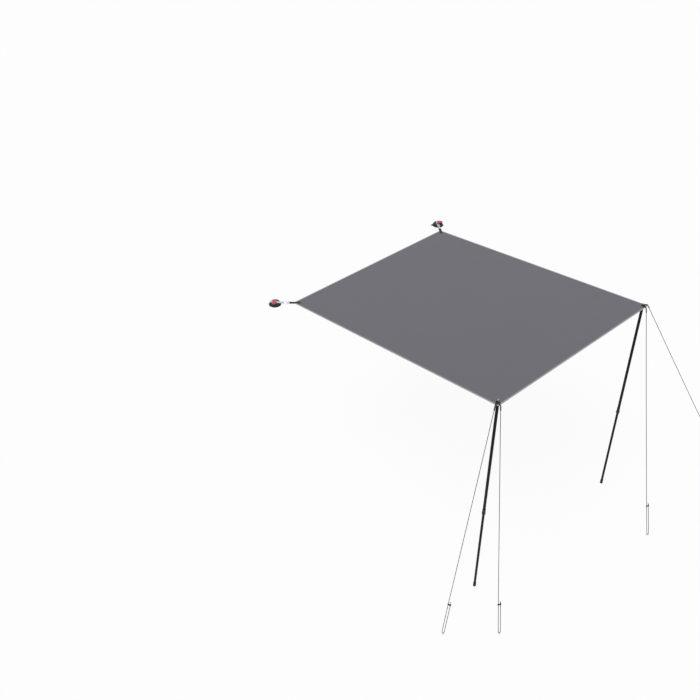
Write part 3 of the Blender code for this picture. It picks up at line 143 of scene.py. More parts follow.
CLOTH = Finish(
    "coated_cloth", "cloth", (0.160, 0.159, 0.186), roughness=0.78, surface=Surface.WOVEN,
    pitch=0.0008, relief=0.00006, mottle=0.035, patch=0.30, dust=0.02, sheen=0.12,
)
TAPE = Finish(
    "binding_tape", "tape", (0.40, 0.40, 0.43), roughness=0.82, surface=Surface.WEBBING,
    pitch=0.0011, relief=0.00012, mottle=0.07, patch=0.03, dust=0.03, sheen=0.1,
)
THREAD = Finish(
    "grey_thread", "tape", (0.30, 0.30, 0.32), roughness=0.70, surface=Surface.MOULDED,
    pitch=0.0004, relief=0.00004, mottle=0.10, patch=0.004,
)
WEBBING = Finish(
    "black_webbing", "webbing", (0.012, 0.012, 0.014), roughness=0.80, surface=Surface.WEBBING,
    pitch=0.0013, relief=0.00018, mottle=0.20, patch=0.012, dust=0.03, sheen=0.1, specular=0.2,
)
ROPE = Finish(
    "black_rope", "rope", (0.005, 0.005, 0.006), roughness=0.72, surface=Surface.BRAIDED,
    pitch=0.00195, relief=0.00030, mottle=0.25, patch=0.02, dust=0.005, specular=0.12,
)
RUBBER = Finish(
    "black_rubber", "rubber", (0.014, 0.014, 0.016), roughness=0.58, surface=Surface.MOULDED,
    pitch=0.0009, relief=0.00004, mottle=0.20, patch=0.012, dust=0.05, specular=0.25,
)
BLACK = Finish(
    "black_plastic", "black", (0.014, 0.014, 0.017), roughness=0.42, surface=Surface.MOULDED,
    pitch=0.0006, relief=0.00003, mottle=0.15, patch=0.02, dust=0.03, specular=0.3,
)
RED = Finish(
    "red_plastic", "red", (0.60, 0.045, 0.085), roughness=0.32, surface=Surface.MOULDED,
    pitch=0.0008, relief=0.00002, mottle=0.07, patch=0.012, dust=0.03, coat=0.25,
)
NYLON = Finish(
    "white_nylon", "nylon", (0.72, 0.72, 0.68), roughness=0.45, surface=Surface.MOULDED,
    pitch=0.0007, relief=0.00002, mottle=0.04, patch=0.01,
)
STEEL = Finish(
    "bright_steel", "steel", (0.54, 0.54, 0.56), roughness=0.26, surface=Surface.DRAWN,
    pitch=0.0004, relief=0.000012, mottle=0.07, patch=0.01, metallic=1.0,
)
TURNED = Finish(
    "turned_steel", "dark", (0.22, 0.22, 0.23), roughness=0.36, surface=Surface.DRAWN,
    pitch=0.0005, relief=0.00002, mottle=0.12, patch=0.008, metallic=1.0,
)
COATED = Finish(
    "coated_tube", "coated", (0.004, 0.004, 0.005), roughness=0.40, surface=Surface.MOULDED,
    pitch=0.0011, relief=0.00003, mottle=0.25, patch=0.04, dust=0.006, coat=0.02, specular=0.12,
)


class Sketch:
    """Short way to write a shader tree: adds nodes, and sets or links their sockets."""

    def __init__(self, tree: NodeTree) -> None:
        """Keeps the tree that is written."""
        self.tree = tree

    def put(self, value: object, socket: NodeSocket) -> None:
        """Links a socket to another one, or sets its value.

        Args:
            value: A socket, or a plain number, vector or colour.
            socket: The input that takes it.
        """
        if isinstance(value, NodeSocket):
            self.tree.links.new(value, socket)
        else:
            socket.default_value = value

    def add(self, kind: str, inputs: dict, **settings: object) -> Node:
        """Adds a node.

        Args:
            kind: Blender's name for the node's type, without ShaderNode.
            inputs: Values or sockets for its inputs, by name or number.
            **settings: The node's own properties.

        Returns:
            The new node.
        """
        node = self.tree.nodes.new(f"ShaderNode{kind}")
        for key, value in settings.items():
            setattr(node, key, value)
        for key, value in inputs.items():
            self.put(value, node.inputs[key])
        return node

    def math(self, operation: str, *values: object, clamp: bool = False) -> NodeSocket:
        """Adds a Math node, whose result is kept from 0 to 1 where clamp is set."""
        inputs = dict(enumerate(values))
        return self.add("Math", inputs, operation=operation, use_clamp=clamp).outputs[0]

    def mix(self, factor: object, first: object, second: object) -> NodeSocket:
        """Mixes two colours, by the share of the second."""
        inputs = {0: factor, COLOUR_A: first, COLOUR_B: second}
        return self.add("Mix", inputs, data_type="RGBA").outputs[COLOUR_OUT]

    def noise(self, vector: object, scale: object, detail: float = 2.0) -> NodeSocket:
        """Adds a noise texture of so many features per metre."""
        inputs = {"Vector": vector, "Scale": scale, "Detail": detail}
        return self.add("TexNoise", inputs).outputs[0]

    def stretch(self, vector: object, shares: Point) -> NodeSocket:
        """Multiplies a vector's axes."""
        return self.add("VectorMath", {0: vector, 1: shares}, operation="MULTIPLY").outputs[0]


def new_group(name: str, numbers: dict[str, float], results: Sequence[str]) -> tuple:
    """Makes an empty shader node group that reads a vector and numbers, and gives numbers.

    Args:
        name: The group's name.
        numbers: Default value of each number that it reads.
        results: Names of the numbers that it gives.

    Returns:
        A sketch of the group's tree, the sockets that it reads and those that it sets.
    """
    tree = bpy.data.node_groups.new(name, "ShaderNodeTree")
    new = tree.interface.new_socket
    new(name="Vector", in_out="INPUT", socket_type="NodeSocketVector")
    for label, value in numbers.items():
        socket = new(name=label, in_out="INPUT", socket_type="NodeSocketFloat")
        socket.default_value = value
    for label in results:
        new(name=label, in_out="OUTPUT", socket_type="NodeSocketFloat")
    source, result = tree.nodes.new("NodeGroupInput"), tree.nodes.new("NodeGroupOutput")
    return Sketch(tree), source.outputs, result.inputs


def plain_weave_group() -> NodeTree:
    """Builds the plain weave: threads that pass over and under each other.

    Returns:
        The group. Vector counts threads both ways; Height is 0 in a gap and 1 on a crown.
    """
    sketch, source, result = new_group("plain_weave", {}, ("Height", "Gap"))
    axes = sketch.add("SeparateXYZ", {0: source["Vector"]}).outputs
    waves = [sketch.math("SINE", sketch.math("MULTIPLY", axes[i], math.pi)) for i in (0, 1)]
    warp_over = sketch.math("ADD", sketch.math("MULTIPLY", *waves), 0.5, clamp=True)
    weft_over = sketch.math("SUBTRACT", 1.0, warp_over)
    threads = [
        sketch.math("MULTIPLY", sketch.math("ABSOLUTE", wave), share)
        for wave, share in zip(waves, (warp_over, weft_over))
    ]
    height = sketch.math("MAXIMUM", *threads)
    filled = sketch.math("MULTIPLY", height, THREAD_FILL, clamp=True)
    sketch.put(height, result["Height"])
    # Gap is 1 between the threads, where materials darken their colour as painted shade.
    sketch.put(sketch.math("SUBTRACT", 1.0, filled), result["Gap"])
    return sketch.tree


def moulded_grain_group() -> NodeTree:
    """Builds the fine pebble that a mould or a coating leaves.

    Returns:
        The group. Size is a pebble's width in metres.
    """
    sketch, source, result = new_group("moulded_grain", {"Size": 0.001}, ("Height",))
    scale = sketch.math("DIVIDE", 1.0, source["Size"])
    cells = sketch.add("TexVoronoi", {"Vector": source["Vector"], "Scale": scale})
    fine = sketch.noise(source["Vector"], sketch.math("MULTIPLY", scale, FINE_PEBBLES))
    height = sketch.math("MULTIPLY_ADD", fine, FINE_SHARE, cells.outputs["Distance"])
    sketch.put(height, result["Height"])
    return sketch.tree


def drawn_lines_group() -> NodeTree:
    """Builds the fine lines that brushing, drawing or turning leaves on metal.

    Returns:
        The group. Size is the lines' spacing in metres, across the vector's Z.
    """
    sketch, source, result = new_group("drawn_lines", {"Size": 0.0005}, ("Height",))
    drawn = sketch.stretch(source["Vector"], DRAWN_OUT)
    scale = sketch.math("DIVIDE", 1.0, source["Size"])
    sketch.put(sketch.noise(drawn, scale, 3.0), result["Height"])
    return sketch.tree


def handling_group() -> NodeTree:
    """Builds the marks of use: soft patches, dust that lies on top, and scuffs.

    Returns:
        The group. Patch is a patch's width in metres, and Dust how much of it lies.
    """
    numbers = {"Patch": 0.05, "Dust": 0.1}
    sketch, source, result = new_group("handling", numbers, ("Mottle", "Dust", "Scuff"))
    place = source["Vector"]
    scale = sketch.math("DIVIDE", 1.0, source["Patch"])
    normal = sketch.add("NewGeometry", {}).outputs["Normal"]
    facing = sketch.add("SeparateXYZ", {0: normal}).outputs[2]
    upward = sketch.math("MULTIPLY_ADD", facing, 0.5, 0.5)
    specks = sketch.noise(place, sketch.math("MULTIPLY", scale, SPECKS), 4.0)
    settled = sketch.math("MULTIPLY", upward, specks)
    dragged = sketch.stretch(place, SCUFF_DRAG)
    rubbed = sketch.noise(dragged, sketch.math("MULTIPLY", scale, SCUFFS), 5.0)
    worn = sketch.math("SUBTRACT", rubbed, SCUFF_START)
    sketch.put(sketch.noise(place, scale, 3.0), result["Mottle"])
    sketch.put(sketch.math("MULTIPLY", settled, source["Dust"], clamp=True), result["Dust"])
    sketch.put(sketch.math("MULTIPLY", worn, SCUFF_EDGE, clamp=True), result["Scuff"])
    return sketch.tree


class FinishShop:
    """Makes each finish into a material, once."""

    DUST_COLOUR = (0.42, 0.40, 0.37, 1.0)
    DUST_ROUGHNESS = 0.4
    # Painted shade in the gaps between threads: the darker tint, and how much of it is mixed in.
    GAP_SHADE, GAP_SHARE = 0.62, 0.6
    SPREAD, METAL_SPREAD = 0.16, 0.22
    RIB_LENGTH = 0.5
    BRAID_STEEPNESS = 0.7
    SHEEN_ROUGHNESS, COAT_ROUGHNESS = 0.5, 0.25

    def __init__(self) -> None:
        """Builds the shared groups."""
        self.weave, self.grain = plain_weave_group(), moulded_grain_group()
        self.lines, self.handling = drawn_lines_group(), handling_group()

    def relief(self, sketch: Sketch, finish: Finish, places: dict) -> dict:
        """Writes the height of a finish's surface.

        Args:
            sketch: The material's tree.
            finish: The finish.
            places: Where it is read: Object in metres, and UV round and along a strip.

        Returns:
            The Height socket and, where there are threads, the Gap socket that places painted
            shade between them.
        """
        surface = finish.surface
        if surface in (Surface.MOULDED, Surface.DRAWN):
            group = self.grain if surface is Surface.MOULDED else self.lines
            inputs = {"Vector": places["Object"], "Size": finish.pitch}
            return sketch.add("Group", inputs, node_tree=group).outputs
        vector = places["Object" if surface is Surface.WOVEN else "UV"]
        axes = sketch.add("SeparateXYZ", {0: vector}).outputs
        across, along = [sketch.math("DIVIDE", axes[i], finish.pitch) for i in (0, 1)]
        if surface is Surface.WEBBING:
            along = sketch.math("MULTIPLY", along, self.RIB_LENGTH)
        if surface is Surface.BRAIDED:
            steep = sketch.math("MULTIPLY", along, self.BRAID_STEEPNESS)
            across, along = [sketch.math(way, across, steep) for way in ("ADD", "SUBTRACT")]
        threads = sketch.add("CombineXYZ", {0: across, 1: along}).outputs[0]
        return sketch.add("Group", {"Vector": threads}, node_tree=self.weave).outputs

    @cache
    def material(self, finish: Finish) -> Material:
        """Gives a finish's material, which is built at the first call.

        Args:
            finish: The finish.

        Returns:
            The material.
        """
        made = bpy.data.materials.new(finish.name)
        made.use_nodes = True
        sketch = Sketch(made.node_tree)
        places = sketch.add("TexCoord", {}).outputs
        relief = self.relief(sketch, finish, places)
        inputs = {"Vector": places["Object"], "Patch": finish.patch, "Dust": finish.dust}
        marks = sketch.add("Group", inputs, node_tree=self.handling).outputs
        ends = [finish.tint(1 - finish.mottle), finish.tint(1 + finish.mottle)]
        colour = sketch.mix(marks["Mottle"], *ends)
        # Painted shade: darkens the colour in the gaps between threads.
        if "Gap" in relief:
            share = sketch.math("MULTIPLY", relief["Gap"], self.GAP_SHARE)
            colour = sketch.mix(share, colour, finish.tint(self.GAP_SHADE))
        spread = self.METAL_SPREAD if finish.metallic else self.SPREAD
        rough = finish.roughness - spread / 2
        shares = {"Mottle": spread, "Scuff": spread / 2, "Dust": self.DUST_ROUGHNESS}
        for label, share in shares.items():
            rough = sketch.math("MULTIPLY_ADD", marks[label], share, rough)
        bump = {"Height": relief["Height"], "Distance": finish.relief, "Strength": 1.0}
        settings = {
            "Base Color": sketch.mix(marks["Dust"], colour, self.DUST_COLOUR),
            "Roughness": rough,
            "Normal": sketch.add("Bump", bump).outputs[0],
            "Metallic": finish.metallic,
            "Specular IOR Level": finish.specular,
            "Sheen Weight": finish.sheen,
            "Sheen Roughness": self.SHEEN_ROUGHNESS,
            "Coat Weight": finish.coat,
            "Coat Roughness": self.COAT_ROUGHNESS,
        }
        shader = made.node_tree.nodes["Principled BSDF"]
        for label, value in settings.items():
            sketch.put(value, shader.inputs[label])
        return made


def arc(centre: Point, radius: float, start: float, end: float, steps: int) -> list[tuple]:
    """Lists the points of an arc from a start angle to an end angle, in degrees."""
    angles = [math.radians(start + (end - start) * step / steps) for step in range(steps + 1)]
    return [(centre[0] + radius * math.cos(a), centre[1] + radius * math.sin(a)) for a in angles]


def circle(radius: float, sides: int) -> list[tuple]:
    """Lists the corners of a regular outline, anticlockwise."""
    return arc((0, 0), radius, 0, 360 - 360 / sides, sides - 1)


def moved(start: Point, steps: Sequence[Point]) -> list[tuple]:
    """Adds each (outwards, up) step of a moulding to the point that it starts from."""
    return [(start[0] + outwards, start[1] + up) for outwards, up in steps]


def ease(value: float) -> float:
    """Goes smoothly from 0 to 1 as the value does, and stays there."""
    held = min(1.0, max(0.0, value))
    return held * held * (3 - 2 * held)


def soften(points: Sequence[Point], radius: float, closed: bool = True) -> list[tuple]:
    """Rounds an outline's corners, in three parts each.

    Args:
        points: The outline.
        radius: How far from a corner the rounding starts, where there is room.
        closed: Whether the last point meets the first.

    Returns:
        The longer outline.
    """
    result = []
    count = len(points)
    for index, point in enumerate(points):
        if not closed and index in (0, count - 1):
            result.append(tuple(point))
            continue
        here = Vector(point)
        before = Vector(points[index - 1]) - here
        after = Vector(points[(index + 1) % count]) - here
        start = here + before.normalized() * min(radius, before.length * CORNER_ROOM)
        end = here + after.normalized() * min(radius, after.length * CORNER_ROOM)
        for share in (0, 1 / 3, 2 / 3, 1):
            place = start * (1 - share) ** 2 + end * share ** 2
            result.append(tuple(place + here * 2 * share * (1 - share)))
    return result


def linked(name: str, data: object) -> Object:
    """Adds an object to the scene.

    Args:
        name: The object's name.
        data: Its mesh, light or camera.

    Returns:
        The object.
    """
    made = bpy.data.objects.new(name, data)
    bpy.context.scene.collection.objects.link(made)
    return made


def smoothed(mesh: Mesh, sharp: float) -> Mesh:
    """Smooths a mesh.

    Args:
        mesh: The mesh.
        sharp: Edges that turn by more degrees than this stay sharp.

    Returns:
        The same mesh.
    """
    mesh.shade_smooth()
    mesh.set_sharp_from_angle(angle=math.radians(sharp))
    return mesh


def finish_mesh(bm: bmesh.types.BMesh, sharp: float = SHARP) -> Mesh:
    """Turns a bmesh into a smooth mesh whose faces point out.

    Args:
        bm: The bmesh, which is freed.
        sharp: Edges that turn by more degrees than this stay sharp.

    Returns:
        The mesh.
    """
    bmesh.ops.remove_doubles(bm, verts=bm.verts, dist=MERGE)
    bmesh.ops.recalc_face_normals(bm, faces=bm.faces)
    mesh = bpy.data.meshes.new("piece")
    bm.to_mesh(mesh)
    bm.free()
    return smoothed(mesh, sharp)


def lathe(profile: Sequence[Point], segments: int, soft: float = 0.0) -> Mesh:
    """Turns a profile about Z.

    Args:
        profile: (radius, height) points. One that starts off the axis is closed, as a ring's.
        segments: Facets round the axis.
        soft: How far from its corners their rounding starts, or 0.

    Returns:
        The turned solid.
    """
    is_ring = profile[0][0] > 0
    if soft:
        profile = soften(profile, soft, is_ring)
    bm = bmesh.new()
    verts = [bm.verts.new((radius, 0, height)) for radius, height in profile]
    edges = [bm.edges.new(pair) for pair in zip(verts, verts[1:])]
    if is_ring:
        edges.append(bm.edges.new((verts[-1], verts[0])))
    bmesh.ops.spin(
        bm, geom=verts + edges, cent=(0, 0, 0), axis=UP, dvec=(0, 0, 0),
        angle=math.tau, steps=segments, use_merge=False,
    )
    return finish_mesh(bm)


def headed_pin(radius: float, half: float, head: Sequence[Point], segments: int) -> Mesh:
    """Turns a pin with a head of (radius, height) points on both ends, each half away."""
    upper = [(radius, half)] + [(wide, half + high) for wide, high in head]
    return lathe([(wide, -high) for wide, high in reversed(upper)] + upper, segments)


def raised(bm: bmesh.types.BMesh, rise: float, turn: Matrix = WORLD) -> Mesh:
    """Raises all faces of a bmesh and closes the sides.

    Args:
        bm: The bmesh, which is freed.
        rise: How far its faces are raised.
        turn: A matrix that is applied last.

    Returns:
        The solid.
    """
    copies = bmesh.ops.extrude_face_region(bm, geom=bm.faces[:])["geom"]
    verts = [item for item in copies if isinstance(item, bmesh.types.BMVert)]
    bmesh.ops.translate(bm, verts=verts, vec=(0, 0, rise))
    bmesh.ops.transform(bm, matrix=turn, verts=bm.verts)
    return finish_mesh(bm)


def prism(outline: Sequence[Point], low: float, high: float, turn: Matrix = WORLD) -> Mesh:
    """Raises a flat outline between two heights.

    Args:
        outline: Its corners in the XY plane.
        low: Lower height.
        high: Upper height.
        turn: A matrix that is applied last. SIDEWAYS makes a (forwards, up) outline run along
            X, where forwards is +Y. UPRIGHT makes an (along, up) outline run along Y.

    Returns:
        The solid.
    """
    bm = bmesh.new()
    bm.faces.new([bm.verts.new((x, y, low)) for x, y in outline])
    return raised(bm, high - low, turn)


def rod(radius: float, start: Point, end: Point, sides: int = 40) -> Mesh:
    """Makes a plain cylinder.

    Args:
        radius: Its radius.
        start: Middle of its first end.
        end: Middle of its other end.
        sides: Facets round it.

    Returns:
        The cylinder.
    """
    axis = Vector(end) - Vector(start)
    turn = Matrix.Translation(start) @ axis.to_track_quat("Z", "Y").to_matrix().to_4x4()
    return prism(circle(radius, sides), 0, axis.length, turn)


def block(low: Point, high: Point) -> Mesh:
    """Makes a box between two corners."""
    outline = ((low[0], low[1]), (high[0], low[1]), (high[0], high[1]), (low[0], high[1]))
    return prism(outline, low[2], high[2])


def gather(meshes: Sequence[Mesh]) -> Mesh:
    """Puts several solids in one mesh, each still closed by itself.

    Args:
        meshes: The solids.

    Returns:
        The mesh.
    """
    bm = bmesh.new()
    for mesh in meshes:
        bm.from_mesh(mesh)
    return finish_mesh(bm)


def combine(mesh: Mesh, operation: str, tools: Sequence[Mesh]) -> Mesh:
    """Applies one Boolean after another.

    Args:
        mesh: The solid that is worked on.
        operation: UNION, DIFFERENCE or INTERSECT.
        tools: The other solids.

    Returns:
        The result.
    """
    target = linked("target", mesh)
    for tool_mesh in tools:
        tool = linked("tool", tool_mesh)
        step = target.modifiers.new("step", "BOOLEAN")
        step.operation, step.solver, step.object = operation, "EXACT", tool
        bpy.context.view_layer.update()
        shaped = target.evaluated_get(bpy.context.evaluated_depsgraph_get())
        target.data = result = bpy.data.meshes.new_from_object(shaped)
        target.modifiers.remove(step)
        bpy.data.objects.remove(tool, do_unlink=True)
    bpy.data.objects.remove(target, do_unlink=True)
    return smoothed(result, SHARP)


def smooth_route(points: Sequence[Point], spacing: float) -> list[Vector]:
    """Reads points from the smooth curve that passes through given points.

    Args:
        points: The given points.
        spacing: About how far apart the points that are read lie.

    Returns:
        The route.
    """
    places = [Vector(point) for point in points]
    ends = [2 * places[0] - places[1]] + places + [2 * places[-1] - places[-2]]
    route = [places[0]]
    for before, start, end, after in zip(ends, ends[1:], ends[2:], ends[3:]):
        steps = max(1, round((end - start).length / spacing))
        for step in range(1, steps + 1):
            t = step / steps
            bend = 2 * start + (end - before) * t
            bend += (2 * before - 5 * start + 4 * end - after) * t ** 2
            bend += (3 * start - before - 3 * end + after) * t ** 3
            route.append(bend / 2)
    return route


def loft(rings: Sequence[Sequence[Vector]], closed: bool, sharp: float = SMOOTHER) -> Mesh:
    """Skins a row of rings, with UV in metres round a ring and along the row.

    Args:
        rings: Rings with the same number of points.
        closed: Whether the last ring meets the first.
        sharp: Edges that turn by more degrees than this stay sharp.

    Returns:
        The solid.
    """
    bm = bmesh.new()
    layer = bm.loops.layers.uv.new("strip")
    middle = rings[len(rings) // 2]
    sides = len(middle)
    girth, lengths = [0.0], [0.0]
    for start, end in zip(middle, [*middle[1:], middle[0]]):
        girth.append(girth[-1] + (end - start).length)
    for before, after in zip(rings, [*rings[1:], rings[0]]):
        lengths.append(lengths[-1] + (after[0] - before[0]).length)
    placed = [[bm.verts.new(point) for point in ring] for ring in rings]
    for index in range(len(rings) if closed else len(rings) - 1):
        near, far = placed[index], placed[(index + 1) % len(placed)]
        for side in range(sides):
            after = (side + 1) % sides
            face = bm.faces.new((near[side], near[after], far[after], far[side]))
            corners = ((side, index), (side + 1, index), (side + 1, index + 1), (side, index + 1))
            for loop, (around, step) in zip(face.loops, corners):
                loop[layer].uv = (girth[around], lengths[step])
    if not closed:
        bm.faces.new(placed[0][::-1])
        bm.faces.new(placed[-1])
    return finish_mesh(bm, sharp)


def sweep(
    route: Sequence[Point], section: Sequence[Point], up: Point,
    scales: Sequence[float] = (), closed: bool = False,
) -> Mesh:
    """Carries a section along a route.

    Args:
        route: The centreline.
        section: The section's corners, first across and then along up.
        up: Direction that the section's second axis starts near.
        scales: The section's scale at each point, where it changes.
        closed: Whether the route meets its own start.

    Returns:
        The solid.
    """
    places = [Vector(point) for point in route]
    lift = Vector(up)
    rings = []
    for index, place in enumerate(places):
        before = places[index - 1] if index or closed else place
        after = places[(index + 1) % len(places)] if place is not places[-1] or closed else place
        along = (after - before).normalized()
        lift = (lift - along * lift.dot(along)).normalized()
        across = along.cross(lift)
        size = scales[index] if scales else 1.0
        rings.append([place + (across * x + lift * y) * size for x, y in section])
    return loft(rings, closed)


def round_wire(
    route: Sequence[Vector], section: Sequence[Point], dome: float, up: Point
) -> tuple[Mesh, list]:
    """Makes a cord with a dome on both ends.

    Args:
        route: The centreline, whose ends are where the domes begin.
        section: The cord's section.
        dome: Height of a dome.
        up: A direction across its start.

    Returns:
        The solid, and its whole centreline.
    """
    angles = [DOME_ANGLE * step / DOME_RINGS for step in range(1, DOME_RINGS + 1)]
    domes = []
    for place, inside in ((route[0], route[1]), (route[-1], route[-2])):
        out = (place - inside).normalized()
        domes.append([(place + out * dome * math.sin(a), math.cos(a)) for a in angles])
    rings = domes[0][::-1] + [(place, 1.0) for place in route] + domes[1]
    line = [place for place, _ in rings]
    return sweep(line, section, up, [scale for _, scale in rings]), line


def stitches(
    rows: Sequence[Sequence[Point]], top: float, bottom: float, pitch: float, width: float
) -> Mesh:
    """Sews rows of thread: each stitch is a slim closed bead that stands on the cloth.

    Args:
        rows: The corner points of each row, seen from above.
        top: Height of the cloth's upper face.
        bottom: Height of its lower face.
        pitch: From one stitch to the next.
        width: The thread's width.

    Returns:
        The stitches on both faces, in one mesh.
    """
    bm = bmesh.new()
    sides = [(row, height, up) for height, up in ((top, UP), (bottom, -UP)) for row in rows]
    spans = [(*pair, *side) for row, *side in sides for pair in zip(row, row[1:])]
    for start, end, height, up in spans:
        start, end = Vector((*start[:2], height)), Vector((*end[:2], height))
        count = max(1, round((end - start).length / pitch))
        along = (end - start) / count
        across = along.normalized().cross(up) * width / 2
        for index in range(count):
            first = start + along * (index + STITCH_GAP)
            last = start + along * (index + 1 - STITCH_GAP)
            mid, lift = (first + last) / 2, up * width
            crest, root = mid + lift * STITCH_RISE, mid - lift * STITCH_SINK
            ring = [mid + across, crest, mid - across, root]
            tips = [bm.verts.new(first), bm.verts.new(last)]
            waist = [bm.verts.new(point) for point in ring]
            for near, far in zip(waist, waist[1:] + waist[:1]):
                bm.faces.new((tips[0], near, far))
                bm.faces.new((tips[1], far, near))
    return finish_mesh(bm)


class Workshop:
    """Puts finished meshes in the scene, on their bodies."""

    def __init__(self) -> None:
        """Opens the finish shop."""
        self.finishes = FinishShop()

    def place(
        self, name: str, mesh: Mesh, finish: Finish, matrix: Matrix, body: str = ROOT_BODY,
        stands_for: Sequence[str] = (), edge: float = 0.0,
    ) -> Object:
        """Adds a piece.

        Args:
            name: The piece's name.
            mesh: Its mesh, in its own coordinates.
            finish: Its finish.
            matrix: Where it stands in the row frame.
            body: The body that it rides on.
            stands_for: CAD nodes that it replaces.
            edge: Width of a bevel on its sharp edges, or 0.

        Returns:
            The piece.
        """
        mesh.name = name
        mesh.materials.clear()
        mesh.materials.append(self.finishes.material(finish))
        piece = linked(name, mesh)
        piece.matrix_world = matrix
        if edge:
            bevel = piece.modifiers.new("soft_edges", "BEVEL")
            bevel.width, bevel.segments = edge, 2
            bevel.limit_method, bevel.angle_limit = "ANGLE", math.radians(SHARP)
            bevel.harden_normals = True
        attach(piece, body)
        if stands_for:
            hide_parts(*stands_for)
        LOG.info("placed %s on %s", name, body)
        return piece

    def dress(self, node: Object, finish: Finish) -> None:
        """Gives a CAD node that stays its finish.

        Args:
            node: The node's object.
            finish: The finish.
        """
        made = self.finishes.material(finish)
        for slot in node.material_slots:
            slot.material = made
        LOG.info("dressed %s", node.name)


@dataclass
class AwningSheet:
    """Cloth, corner patches, binding tape, stitching and eyelets."""

    shop: Workshop
    place: Matrix
    width: float = 2.000
    reach: float = 2.500
    thickness: float = 0.0010
    edge_gap: float = 0.0009
    corner_radius: float = 0.012
    corner_cut: float = 0.0036
    cell: float = 0.020
    sag: float = 0.005
    ripple: float = 0.00045
    folds: int = 17
    fold_drift: Pair = (2.3, 2.5)  # changes per metre, and their strength
    fold_start: Pair = (0.10, 0.12)  # distance from the corner, and how far they grow
    fold_end: Pair = (0.95, 0.75)  # distance from the corner, and how far they fade
    fold_edge: float = 0.06
    tape_width: float = 0.014
    tape_inner: float = 0.0008
    tape_face: float = 0.0014
    tape_wave: Pair = (0.0005, 0.06)  # sideways, and as a share of the height
    tape_seam: float = 0.8
    tape_fold: float = 1.4
    tape_shoulder: Pair = (0.3, 0.7)  # shares of the fold and of the face's height
    tape_sharp: float = 60.0
    tape_noise: Pair = (7, 400)  # changes per metre, along and through the tape
    tape_turn: float = 0.0004
    tape_cell: float = 1.25
    patch_leg: float = 0.150
    patch_bottom: float = -0.0011
    patch_margin: float = 0.001
    patch_seams: Pair = (0.004, 0.012)  # distances from the long side
    eyelet_inset: float = 0.035
    eyelet_bore: float = 0.0063
    eyelet_wall: float = 0.0007
    eyelet_flange: float = 0.0130
    eyelet_hole: float = 0.0073
    flange_height: float = 0.0010
    flange_slope: float = 0.4
    lip: Pair = (-0.0035, -0.0027)  # lower and upper height
    lip_radius: float = 0.0098
    eyelet_soft: float = 0.0005
    washer: Pair = (-0.0024, -0.0014)  # lower and upper height
    washer_soft: float = 0.0003
    segments: int = 80
    stitch: float = 0.0035
    thread: float = 0.0006

    def corners(self) -> list[tuple[float, float, int, int]]:
        """Lists the corners, each with the way to the sheet's middle along X and Y."""
        wide, far = self.width, -self.reach
        return [(0, 0, 1, -1), (wide, 0, -1, -1), (wide, far, -1, 1), (0, far, 1, 1)]

    def height(self, x: float, y: float) -> float:
        """Gives how far the taut cloth stands from its plane.

        Args:
            x: Place along the inner edge.
            y: Place towards the poles, from 0 to minus the reach.

        Returns:
            The height: a light sag, and fine folds that fan out from the corners.
        """
        across, outwards = math.sin(math.pi * x / self.width), math.sin(-math.pi * y / self.reach)
        value = -self.sag * across * outwards
        edge = min(x, self.width - x, -y, y + self.reach) - self.tape_width
        for corner_x, corner_y, _, _ in self.corners():
            away = math.hypot(x - corner_x, y - corner_y)
            angle = math.atan2(y - corner_y, x - corner_x)
            drift = noise.noise(Vector((away * self.fold_drift[0], corner_x, corner_y)))
            fan = math.cos(angle * self.folds + drift * self.fold_drift[1])
            share = ease((away - self.fold_start[0]) / self.fold_start[1])
            share *= ease((self.fold_end[0] - away) / self.fold_end[1])
            value += self.ripple * fan * share * ease(edge / self.fold_edge)
        return value

    def cloth(self) -> Mesh:
        """Makes the closed cloth panel with its eyelet holes.

        Returns:
            The panel.
        """
        inset = self.edge_gap
        columns, rows = round(self.width / self.cell), round(self.reach / self.cell)
        bm = bmesh.new()
        grid = []
        for row in range(rows + 1):
            y = -inset - (self.reach - 2 * inset) * row / rows
            line = []
            for column in range(columns + 1):
                x = inset + (self.width - 2 * inset) * column / columns
                corner = row in (0, rows) and column in (0, columns)
                cut = self.corner_cut if corner else 0.0
                place = (x + (-cut if column else cut), y + (cut if row else -cut))
                line.append(bm.verts.new((*place, self.height(x, y) - self.thickness / 2)))
            grid.append(line)
        for near, far in zip(grid, grid[1:]):
            for corners in zip(near, far, far[1:], near[1:]):
                bm.faces.new(corners)
        return combine(raised(bm, self.thickness), "DIFFERENCE", self.eyelet_cutters())

    def eyelet_place(self, end: End) -> Vector:
        """Gives an eyelet's centre in the sheet's own frame."""
        x = self.eyelet_inset if end is End.FRONT else self.width - self.eyelet_inset
        return Vector((x, self.eyelet_inset - self.reach, 0))

    def eyelet_cutters(self) -> list[Mesh]:
        """Makes the two rods that cut the eyelet holes."""
        places, over = [self.eyelet_place(end) for end in End], UP * self.cell
        return [rod(self.eyelet_hole, place - over, place + over) for place in places]

    def patches(self) -> None:
        """Adds the corner patches under the cloth, with two rows of stitches each."""
        near, leg, turn = self.edge_gap, self.patch_leg, self.corner_radius
        tip, low = self.tape_width - self.patch_margin, self.tape_width + self.patch_margin
        local = arc((turn, turn), turn - near * 2, 180, 270, steps=6)
        local += [(leg, near), (leg, tip), (tip, leg), (near, leg)]
        names = ("front_inner", "rear_inner", "rear_outer", "front_outer")
        for name, (x, y, to_x, to_y) in zip(names, self.corners()):
            mesh = prism([(x + to_x * a, y + to_y * b) for a, b in local], self.patch_bottom, 0)
            if to_y > 0:
                mesh = combine(mesh, "DIFFERENCE", self.eyelet_cutters())
            self.shop.place(f"{name}_patch", mesh, CLOTH, self.place)
            rows = []
            for inset in self.patch_seams:
                far = leg - low - inset * math.sqrt(2)
                rows.append([(x + to_x * a, y + to_y * b) for a, b in ((far, low), (low, far))])
            self.sew(f"{name}_patch", rows, self.thickness / 2, self.patch_bottom)

